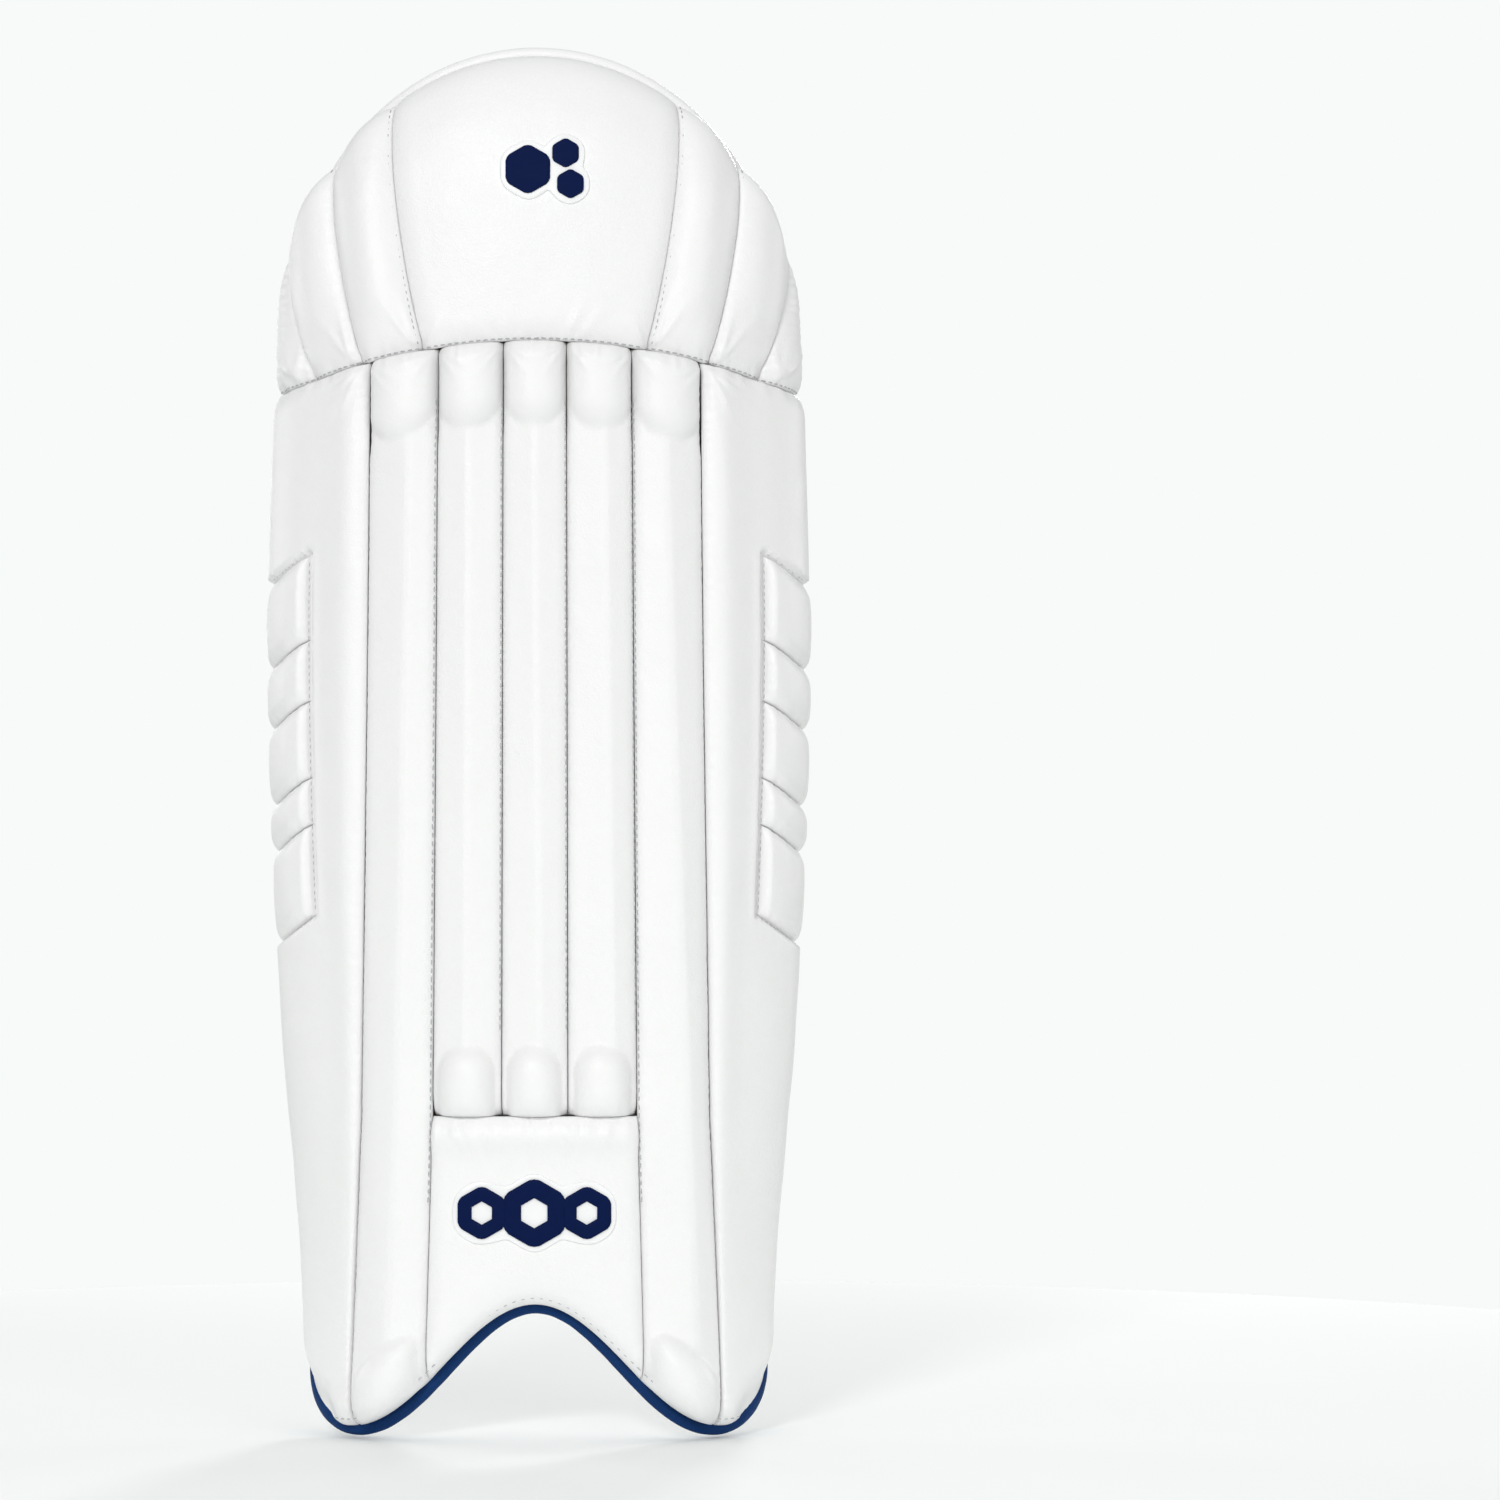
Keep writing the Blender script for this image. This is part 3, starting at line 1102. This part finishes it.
BINDING_T, WELT_SHARE = PIPING_R - 0.5, 0.945
round_strip("foot_binding_cloth", "foot_binding", foot_path(BINDING_T), 4.0, mat_navy_back, "navy_binding", 1)
round_strip("top_binding_cloth", "top_binding", top_path(BINDING_T), 3.7, mat_cover, "white_binding", 2)
turn = np.radians(np.linspace(-86, 86, 150))
welt_path = place(WELT_SHARE * np.sin(turn), ARCH_Z + WELT_SHARE * RIM_R * np.cos(turn), -2.6)
round_strip("knee_welt_cloth", "knee_welt", welt_path, 1.7, mat_back, "cover", 3)
arch_s = np.linspace(-0.86, 0.86, 150)
arch_z = bottom_z(arch_s)
sew(arch_s, arch_z + PIPING_R + 5.0, body_t(arch_s, arch_z + 9.0) - 2.6, 4.6, 2.3, 0.6)


# ------------------------------------------------------------------ marks: raised and printed
class Surface:
    """Finds the face of a mesh seen from the front (-1) or the back (+1)."""

    def __init__(self, obj, side):
        mesh = obj.data
        self.tree = BVHTree.FromPolygons([v.co.copy() for v in mesh.vertices],
                                         [list(p.vertices) for p in mesh.polygons])
        self.side = side

    def __call__(self, x, z):
        """Points and outward normals on the face above x, z, in millimetres."""
        x, z = np.broadcast_arrays(np.asarray(x, float), np.asarray(z, float))
        points, normals = np.zeros(x.shape + (3,)), np.zeros(x.shape + (3,))
        for i in np.ndindex(x.shape):
            hit, normal, _, _ = self.tree.ray_cast(Vector((x[i] * MM, self.side * 0.3, z[i] * MM)),
                                                   Vector((0, -self.side, 0)))
            if hit is None:
                hit, normal = Vector((x[i] * MM, 0, z[i] * MM)), Vector((0, self.side, 0))
            if normal.y * self.side < 0:
                normal = -normal
            points[i], normals[i] = np.array(hit) / MM, np.array(normal)
        return points, normals


def hex_radius(angle, rounding=0.06):
    """The outline of a hexagon of radius 1, with its corners a little rounded."""
    a = angle % (math.pi / 3) - math.pi / 6
    return math.cos(math.pi / 6) / np.cos(a) - rounding * bell((np.abs(a) - math.pi / 6) / 0.09)


def relief(surface, cx, cz, shape, hole, base, height, bevel, steps=5, corners=()):
    """A raised closed mark round cx, cz. shape(angle) and hole(angle) are its outer and inner outlines."""
    angle = np.arange(96) * 2 * np.pi / 96
    for corner in corners:
        angle = angle[np.abs((angle - corner + np.pi) % (2 * np.pi) - np.pi) > 0.03]
    angle = np.sort(np.concatenate([angle, np.array(corners) % (2 * np.pi)]))
    outer, inner = shape(angle), hole(angle)
    rim_in = inner + bevel
    rows = [(inner, base), (inner, height - bevel), (inner + bevel * 0.35, height - bevel * 0.25), (rim_in, height)]
    if float(inner.max()) < 0.1:
        rim_in = inner
        rows = [(inner, base), (inner, height)]
    rows += [(lerp(rim_in, outer - bevel, k / steps), height) for k in range(1, steps)]
    rows += [(outer - bevel, height), (outer - bevel * 0.35, height - bevel * 0.25), (outer, height - bevel),
             (outer, base)]
    verts = []
    for radius, lift in rows:
        p, normal = surface(cx + radius * np.sin(angle), cz + radius * np.cos(angle))
        verts.append(p + normal * lift)
    return np.concatenate(verts), loop_faces(len(rows), len(angle), closed=True)


def no_hole(angle):
    """The inner outline of a solid mark: too small to see."""
    return 0.05 + angle * 0


def hexagon(surface, cx, cz, radius, hole):
    return relief(surface, cx, cz, lambda a: radius * hex_radius(a),
                  lambda a: np.maximum(hole * hex_radius(a, 0.0), 0.05), 1.1, 2.9, 0.6)


def halo(shapes, cx, cz, margin):
    """The outline that stands margin clear of a group of hexagons (x, z, radius), as seen from cx, cz."""
    def outline(angle):
        best = np.zeros_like(angle)
        k = np.linspace(0, 2 * np.pi, 240, endpoint=False)
        for x, z, r in shapes:
            px = x + (r * hex_radius(k) + margin) * np.sin(k) - cx
            pz = z + (r * hex_radius(k) + margin) * np.cos(k) - cz
            around, reach = np.arctan2(px, pz), np.hypot(px, pz)
            for i, a in enumerate(angle):
                near = reach[np.abs((around - a + np.pi) % (2 * np.pi) - np.pi) < 0.05]
                if len(near):
                    best[i] = max(best[i], near.max())
        for _ in range(3):
            best = 0.25 * np.roll(best, 1) + 0.5 * best + 0.25 * np.roll(best, -1)
        return best
    return outline


def badge(name, cover_name, shapes, cx, cz, hole):
    surface = Surface(bpy.data.objects[cover_name], -1)
    plate = relief(surface, cx, cz, halo(shapes, cx, cz, 2.6), no_hole, -0.4, 1.5, 0.9, 12)
    settle(make_object(f"{name}_plate", *plate, mat_badge, 40), "pad", "badge", name)
    parts = [hexagon(surface, x, z, r, r * hole) for x, z, r in shapes]
    settle(make_object(f"{name}_marks", *join_parts(parts), mat_mark, 40), "pad", "navy_mark", f"{name}_mark")


badge("knee_badge", "knee_face_cover", [(-3.2, 622.6, 12.6), (15.2, 630.6, 7.5), (17.6, 615.4, 7.5)], 6.0, 623.0, 0.0)
badge("instep_badge", "instep_cover", [(-25.6, 112.0, 13.6), (0.0, 112.0, 17.6), (25.6, 112.0, 13.6)], 0.0, 112.0, 0.42)


def film(surface, quads, lift, step):
    """Printed ink: thin closed tiles over quads of (x, z) corners that follow the face below."""
    parts = []
    for quad in quads:
        a, b, c, d = (np.array(p, float) for p in quad)
        n = max(1, math.ceil(max(np.linalg.norm(b - a), np.linalg.norm(c - d)) / step))
        m = max(1, math.ceil(max(np.linalg.norm(d - a), np.linalg.norm(c - b)) / step))
        u, v = np.meshgrid(np.linspace(0, 1, n + 1), np.linspace(0, 1, m + 1), indexing="ij")
        u, v = u[..., None], v[..., None]
        xz = lerp(lerp(a, b, u), lerp(d, c, u), v)
        p, normal = surface(xz[..., 0], xz[..., 1])
        parts.append(block(p + normal * lift, p - normal * 0.3))
    return join_parts(parts)


def print_on(name, surface, quads, material, slot, lift=0.14, step=2.2, body="pad"):
    settle(make_object(name, *film(surface, quads, lift, step), material, 30), body, slot)


def ring_quads(cx, cz, outer, inner, turn=0.0):
    """A hexagon ring as six quads."""
    angle = turn + np.arange(7) * math.pi / 3
    o, i = ([(cx + r * math.sin(a), cz + r * math.cos(a)) for a in angle] for r in (outer, inner))
    return [(i[k], i[k + 1], o[k + 1], o[k]) for k in range(6)]


def is_inside(x, z, outline):
    odd = False
    for (x0, z0), (x1, z1) in zip(outline[-1:] + outline, outline):
        if (z0 > z) != (z1 > z) and x < x0 + (z - z0) / (z1 - z0) * (x1 - x0):
            odd = not odd
    return odd


def scatter(outline, keep_out, pitch=7.3, size=3.7, width=1.25):
    """Hexagon rings and pairs of bars on a lattice inside an outline."""
    quads = []
    xs, zs = zip(*outline)
    for row, z in enumerate(np.arange(min(zs), max(zs), pitch * 0.866)):
        for col, x in enumerate(np.arange(min(xs), max(xs), pitch)):
            x = x + (pitch / 2 if row % 2 else 0)
            if not is_inside(x, z, outline) or keep_out(x, z):
                continue
            if (col + 2 * row) % 3 == 0:
                quads += ring_quads(x, z, size, size - width, 0.15)
                continue
            turn = math.radians(60 * ((row + col * 2) % 3) + 20)
            c, s = math.cos(turn), math.sin(turn)
            for middle in (-1.5, 1.5):
                a, b = middle - width / 2, middle + width / 2
                quads.append([(x + c * px - s * pz, z + s * px + c * pz)
                              for px, pz in ((a, -size), (a, size), (b, size), (b, -size))])
    return quads


MARKS = [(53.5, 605.0, 23.5), (0.0, 605.5, 35.5), (-53.5, 605.0, 23.5)]


def near_marks(x, z):
    return np.hypot(x, max(0.0, z - ARCH_Z)) > 0.93 * RIM_R - 4.5 or any(
        np.hypot(x - mark_x, z - mark_z) < r * 0.98 + 5.5 for mark_x, mark_z, r in MARKS)


def box_quad(left, right, low, high):
    return (left, high), (right, high), (right, low), (left, low)


def chevron(z, tall):
    """A mark that points up, as two quads."""
    edge = [(14.5, z), (-3, z + 8), (-20.5, z)]
    up = [(x, edge_z + tall - 8) for x, edge_z in edge]
    return [(edge[k], edge[k + 1], up[k + 1], up[k]) for k in (0, 1)]


knee_rear = Surface(knee_back_cover, 1)
print_on("knee_print_mark", knee_rear, sum((ring_quads(x, z, r, r * 0.47) for x, z, r in MARKS), []), mat_ink,
         "navy_mark")
print_on("knee_print_bars", knee_rear, [box_quad(24, -6, 545.8, 549.5), box_quad(-9, -29, 547.0, 548.8)],
         mat_label_ink, "navy_mark")
WEDGES = ([(58, 668), (22, 629), (34, 600), (60, 572), (70, 569), (86, 558), (120, 559), (120, 600), (100, 640),
           (78, 662)],
          [(-73, 655), (-63, 637), (-48, 610), (-35, 577), (-20, 556), (-66, 562), (-120, 584), (-120, 612),
           (-98, 640)])
print_on("knee_print_pattern", knee_rear, sum((scatter(wedge, near_marks) for wedge in WEDGES), []), mat_pale_ink,
         "badge")
shin_rear = Surface(shin_cover, 1)
quads = sum((chevron(z, 20) for z in (214, 246, 278, 310, 342, 374, 406)), []) + chevron(434, 15)
print_on("shin_print_chevrons", shin_rear, quads, mat_shin_ink, "navy_mark", 0.25, 2.0)
PATCHES = ([(32, 466), (30, 420), (3, 420)], [(32, 361), (30, 338), (8, 361)],
           [(-22, 214), (-30, 250), (-31, 196), (12, 198), (12, 212)])
quads = sum((scatter(patch, lambda x, z: abs(x) > 27.5, 6.4, 3.2, 1.1) for patch in PATCHES), [])
print_on("shin_print_pattern", shin_rear, quads, mat_grey_ink, "badge", 0.22, 2.0)


# ------------------------------------------------------------------ the straps
# For each strap: the z of its middle, the x of the bar it turns round, of its free end and of its seam.
STRAPS = {"calf": (393.0, 96.0, -129.0, 80.0), "ankle": (177.0, 70.0, -118.0, 57.5)}
STRAP_Y, WEB_W, WEB_T, TAB_W, PEEL_X, RING_PITCH = -4.0, 61.0, 2.5, 10.5, -52.0, 24.0
LOOP_R = 4.4  # of the webbing round a ring's bar
WEAVE_PITCH = 2.4
HEM = 28.8  # from the middle of a strap to the stitches along its edge
REAR_Y = STRAP_Y + WEB_T / 2
slack_wave = Wave(120, 9)
edge_wave = Wave(70, 7)


def sag(x, z, bar_x):
    """How far the slack webbing stands off its flat plane."""
    calm_end = smooth((bar_x - 14 - x) / 30)
    return calm_end * (0.55 * slack_wave(x, z) - 0.25) + calm_end * 0.10 * crease(x * 1.4, z)


def smooth_path(points, step=0.8):
    points = np.array(points, float)
    length = run_length(points)[-1]
    return relax(along_path(points, np.linspace(0, length, int(length / step) + 2)), 6)


def web_sheet(path, z_mid, width, thick, shift=None, across=64, weave=0.0):
    """A wide web whose edge view is path in the XY plane. shift(x, z) moves it along Y."""
    d = tangents(path)
    n = np.stack([-d[:, 1], d[:, 0]], -1)
    length = run_length(path)[:, None]
    v = crowd(1 - 0.7 * np.abs(np.linspace(-1, 1, across)) ** 8)[None] * 2 - 1
    edge = width / 2 * (1 - np.abs(v))
    rows = width / 2 * v + 0.35 * edge_wave(length, length * 0) * np.abs(v) ** 3
    half = thick / 2 * (0.42 + 0.58 * dome(edge / 1.3)) + 0.12 * bell((edge - 1.6) / 0.9)
    half = np.broadcast_to(half, rows.shape)
    if weave:
        a, b = length / WEAVE_PITCH, rows / (WEAVE_PITCH * 0.78)
        half = half + weave * np.sin(np.pi * (a + b)) * np.sin(np.pi * (a - b)) * smooth((edge - 1.5) / 1.5)
    x, y = (np.broadcast_to(path[:, k:k + 1], rows.shape) for k in (0, 1))
    z = z_mid + rows
    lift = shift(x, z) if shift else 0.0
    nx, ny = n[:, :1] * half, n[:, 1:] * half
    return block(np.stack([x + nx, y + ny + lift, z], -1), np.stack([x - nx, y - ny + lift, z], -1))


def arc(x, start, end):
    """Round the bar at x, between two angles in degrees."""
    return [(x + LOOP_R * math.cos(k), STRAP_Y + LOOP_R * math.sin(k))
            for k in np.radians(np.linspace(start, end, 24))]


def flat_row(start, end, bar_x, pitch, lift=0.0):
    """Stitches on the back of a strap, from one (x, z) to another."""
    n = max(3, int(math.dist(start, end) / 1.5))
    x, z = (np.linspace(a, b, n) for a, b in zip(start, end))
    path = np.stack([x, REAR_Y + sag(x, z, bar_x) + lift, z], -1)
    return stitch_row(path, np.tile(REARWARD, (n, 1)), pitch, pitch * 0.66, 0.55, 0.05)


def inset_outline(points, by):
    """The same polygon (run anticlockwise) with each side moved in."""
    points = [np.array(p, float) for p in points]
    out = []
    for i, p in enumerate(points):
        a, b = unit(p - points[i - 1]), unit(points[(i + 1) % len(points)] - p)
        na, nb = np.array([-a[1], a[0]]), np.array([-b[1], b[0]])
        m = unit(na + nb)
        out.append(p + m * by / max(0.5, float(m @ na)))
    return out


def outline_reach(points, cx, cz):
    """The distance from cx, cz to a polygon, as a function of the angle."""
    points = np.array(points, float) - [cx, cz]

    def reach(angle):
        best = np.full(angle.shape, 1e9)
        dx, dz = np.sin(angle), np.cos(angle)
        for a, b in zip(points, np.roll(points, -1, axis=0)):
            e = b - a
            det = dx * e[1] - dz * e[0]
            det = np.where(np.abs(det) < 1e-9, 1e-9, det)
            t = (a[0] * e[1] - a[1] * e[0]) / det
            u = (a[0] * dz - a[1] * dx) / det
            best = np.where((t > 0) & (u > -1e-6) & (u < 1 + 1e-6), np.minimum(best, t), best)
        return best
    return reach


def pull_tab(name, z_mid, bar_x, middle_x):
    z = np.linspace(z_mid - WEB_W / 2, z_mid + WEB_W / 2, 46)
    x = np.full(z.shape, middle_x)
    path = np.stack([x, STRAP_Y + 0.1 + sag(x, z, bar_x), z], -1)
    ends = (0.75 + 0.25 * dome(np.minimum(z - z[0], z[-1] - z) / 1.5))[:, None]
    side, up = ends * [1.0, 0, 0], ends * REARWARD
    grip = sweep(path, side, up, TAB_W - 0.1, 2.5, 0.2, 28)
    lip = sweep(path + [-3.4, 1.2, 0], side, up, 2.2, 0.9, 0.5, 12)
    tab = make_object(f"{name}_pull_tab_grip", *join_parts([grip, lip]), mat_tab, 50)
    settle(tab, f"{name}_strap_tip", "tab", f"{name}_pull_tab")


def strap_label(name, cloth, z_mid, bar_x, left, width):
    """The label at the strap's free end, with its print. Gives the stitches round it."""
    tip = f"{name}_strap_tip"
    curve = [(left + width * (0.46 + 0.36 * math.sin(a)), z_mid - 3.5 + 14 * (1 - math.cos(a)))
             for a in np.radians(np.arange(0, 91, 10))]
    outline = [(left, z_mid - 6.5), *curve, (left + width, z_mid + 29.0), (left, z_mid + 29.0)]
    cx, cz = left + 0.42 * width, z_mid + 14
    corners = [math.atan2(x - cx, z - cz) for x, z in outline]
    plate = relief(Surface(cloth, 1), cx, cz, outline_reach(outline, cx, cz), no_hole, -0.2, 1.15, 0.6, 14, corners)
    label = settle(make_object(f"{name}_label_plate", *plate, mat_label, 40), tip, "label", f"{name}_strap_label")
    a, b = inset_outline(outline, 3.6), inset_outline(outline, 5.3)
    quads = list(zip(a, a[1:] + a[:1], b[1:] + b[:1], b))
    big = 7.4 * width / 63.5
    middle_x, middle_z = left + 0.40 * width, z_mid + 15.2
    quads += ring_quads(middle_x, middle_z, big, big * 0.45)
    for side in SIDES:
        quads += ring_quads(middle_x + side * big * 1.68, middle_z, big * 0.74, big * 0.33)
    print_on(f"{name}_label_print", Surface(label, 1), quads, mat_label_ink, "navy_mark", 0.12, 2.0, tip)
    hem = inset_outline(outline, 1.5)
    rows = []
    for start, end in zip(hem, hem[1:] + hem[:1]):
        if math.dist(start, end) > 4:
            rows += flat_row(start, end, bar_x, 3.0, 1.12)
    for start, end in zip(hem[1:-2], hem[2:-2]):
        rows += flat_row(start, end, bar_x, 3.0, 1.12)
    return rows


def strap(name):
    z_mid, bar_x, free_x, seam_x = STRAPS[name]
    body, tip = f"{name}_strap", f"{name}_strap_tip"
    end_x = free_x + TAB_W
    path = [(seam_x - 1.8, STRAP_Y + 2.35), (bar_x - 9, STRAP_Y + 2.35), (bar_x - 5, STRAP_Y + 3.0)]
    path += arc(bar_x, 108, -112)
    path += [(bar_x - 5.5, STRAP_Y - 2.6), (bar_x - 11, STRAP_Y), (bar_x - 20, STRAP_Y), (end_x + 0.2, STRAP_Y)]
    mesh = web_sheet(smooth_path(path), z_mid, WEB_W, WEB_T, lambda x, z: sag(x, z, bar_x))
    cloth = make_object(f"{name}_strap_webbing", *mesh, mat_web, 40)
    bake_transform(cloth)
    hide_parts(f"{name}_strap_web", f"{name}_strap_end")

    near, far = [], []
    for x in (seam_x, seam_x + 2.6):
        near += flat_row((x, z_mid - 29), (x, z_mid + 29), bar_x, 3.4, 2.3)
    for z in (z_mid - HEM, z_mid + HEM):
        near += flat_row((seam_x - 3, z), (-45.5, z), bar_x, 3.4)
        far += flat_row((-56, z), (end_x + 1.5, z), bar_x, 3.4)
    far += flat_row((end_x + 0.9, z_mid - 29), (end_x + 0.9, z_mid + 29), bar_x, 3.4)
    pull_tab(name, z_mid, bar_x, free_x + (TAB_W - 0.1) / 2)
    far += strap_label(name, cloth, z_mid, bar_x, end_x + 1.0, PEEL_X - 2 - end_x - 1.0)
    settle(make_object(f"{name}_strap_stitching", *join_parts(near), mat_thread, 0), body, "webbing")
    settle(make_object(f"{name}_end_stitching", *join_parts(far), mat_thread, 0), tip, "webbing")


def edge_line(side, z, t):
    return [tuple(place(side * s, z, t)[:2]) for s in np.linspace(0.935, 0.99, 8)]


def anchor_web(name, path, step, **weave):
    mesh = web_sheet(smooth_path(path, step), STRAPS[name][0], WEB_W, 2.0, **weave)
    settle(make_object(f"{name}_anchor_webbing", *mesh, mat_anchor, 40), "pad", "anchor_web", f"{name}_anchor_web")


def landing_tape(name):
    z = STRAPS[name][0]
    x, y, _ = place(-1.0, z, -1.6)
    flat_y = REAR_Y - WEB_T - 2.7
    path = edge_line(-1, z, -1.6) + [(x - 0.9, y + 1.5), (x - 0.2, flat_y - 0.4), (x + 3, flat_y), (x + 18, flat_y)]
    mesh = web_sheet(smooth_path(path), z, WEB_W - 6, 1.4)
    settle(make_object(f"{name}_landing_loops", *mesh, mat_loop, 40), "pad", "loop_tape", f"{name}_landing_tape")


for name in STRAPS:
    strap(name)
    landing_tape(name)
z, bar = STRAPS["calf"][0], STRAPS["calf"][1] + RING_PITCH
anchor_web("calf", edge_line(1, z, -1.7) + arc(bar, 205, -55), 0.8, weave=0.12)
z, bar = STRAPS["ankle"][0], STRAPS["ankle"][1] + RING_PITCH
x, y, _ = place(1.0, z, -1.7)
over = [(x + 1.2, y + 3), (x + 0.8, STRAP_Y + 1.2), (x - 2, STRAP_Y + 2.3), (bar + 5, STRAP_Y + 2.6)]
under = [(bar + 6, STRAP_Y - 1.6), (bar + 11, STRAP_Y - 0.9)]
anchor_web("ankle", edge_line(1, z, -1.7) + over + arc(bar, 80, 265) + under, 0.6, across=96, weave=0.16)
zs = np.linspace(z - 28, z + 28, 30)
path = np.stack([np.full(30, bar + 7.5), np.full(30, STRAP_Y + 3.7), zs], -1)
stitches.extend(stitch_row(path, np.tile(REARWARD, (30, 1)), 3.4, 2.3, 0.55))
settle(make_object("cover_stitching", *join_parts(stitches), mat_thread, 0), "pad", "white_binding")

# ------------------------------------------------------------------ the CAD pieces that stay in view
SHOWN = {
    mat_plastic: ["calf_ring", "ankle_ring"],
    mat_foam: ["knee_foam", "side_foam_left", "side_foam_right", "instep_foam"],
    mat_cane: [f"cane_rods_{number}" for number in range(1, 6)],
    mat_board: ["backing_board"],
    mat_hook: ["calf_hook_patch", "ankle_hook_patch"],
}
for material, names in SHOWN.items():
    for node in names:
        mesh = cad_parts[node].data
        mesh.materials.clear()
        mesh.materials.append(material)

# ------------------------------------------------------------------ floor, light and camera
bpy.ops.mesh.primitive_circle_add(vertices=96, radius=0.85, fill_type="NGON", location=(0, 0, -0.0012))
floor = bpy.context.object
floor.name = "floor"
paint = Nodes("pale_floor")
floor.data.materials.append(
    paint.finish(paint.mix(paint.noise(3.0, 3.0), (0.915, 0.925, 0.92), (0.935, 0.945, 0.94)), 0.85))

world = bpy.data.worlds.new("studio")
bpy.context.scene.world = world
world.use_nodes = True
sky = world.node_tree.nodes["Background"]
add, join = world.node_tree.nodes.new, world.node_tree.links.new
around, split, level_y, total, whole = (
    add(f"ShaderNode{kind}") for kind in ("TexCoord", "SeparateXYZ", "Math", "Math", "Math"))
join(around.outputs["Generated"], split.inputs[0])
level_y.operation, total.operation = "ABSOLUTE", "MAXIMUM"
join(split.outputs["Y"], level_y.inputs[0])
join(total.outputs[0], whole.inputs[0])
for source, low, high, gain, socket in ((level_y.outputs[0], 0.82, 0.95, 0.60, total.inputs[0]),
                                        (split.outputs["Y"], -0.1, 0.4, 0.11, total.inputs[1]),
                                        (split.outputs["Z"], 0.3, 0.8, 0.30, whole.inputs[1])):
    fade = add("ShaderNodeMapRange")
    fade.interpolation_type = "SMOOTHSTEP"
    for name, value in (("From Min", low), ("From Max", high), ("To Min", 0.185), ("To Max", 0.185 + gain)):
        fade.inputs[name].default_value = value
    join(source, fade.inputs["Value"])
    join(fade.outputs["Result"], socket)
join(whole.outputs[0], sky.inputs["Strength"])
sky.inputs["Color"].default_value = (0.962, 0.985, 0.972, 1)
bpy.context.scene.view_settings.view_transform = "Standard"


def softbox(name, place_at, look_at, size, power):
    lamp = bpy.data.lights.new(name, "AREA")
    lamp.shape, lamp.size, lamp.size_y, lamp.energy = "RECTANGLE", size, size, power
    obj = bpy.data.objects.new(name, lamp)
    bpy.context.scene.collection.objects.link(obj)
    obj.location = place_at
    obj.rotation_euler = (Vector(look_at) - Vector(place_at)).to_track_quat("-Z", "Y").to_euler()


softbox("key", (-0.55, -2.5, 1.25), (0, 0, 0.36), 0.5, 23.5)
softbox("fill", (1.3, -2.4, 0.8), (0, 0, 0.34), 0.9, 8.5)
softbox("back_key", (0.55, 2.5, 1.25), (0, 0, 0.36), 0.5, 17.5)
softbox("back_fill", (-1.0, 2.5, 0.8), (0, 0, 0.34), 0.9, 4.5)
for side in SIDES:
    softbox(f"back_side_{side}", (2.6 * side, 1.5, 0.7), (0, 0, 0.34), 0.9, 12)

lens = bpy.data.cameras.new("camera")
lens.lens, lens.sensor_width = 147.0, 36.0
lens.clip_end = 200
camera = bpy.data.objects.new("camera", lens)
bpy.context.scene.collection.objects.link(camera)
camera.location = (0.1055, -3.08, 0.3385)
camera.rotation_euler = (math.pi / 2, 0, 0)
bpy.context.scene.camera = camera
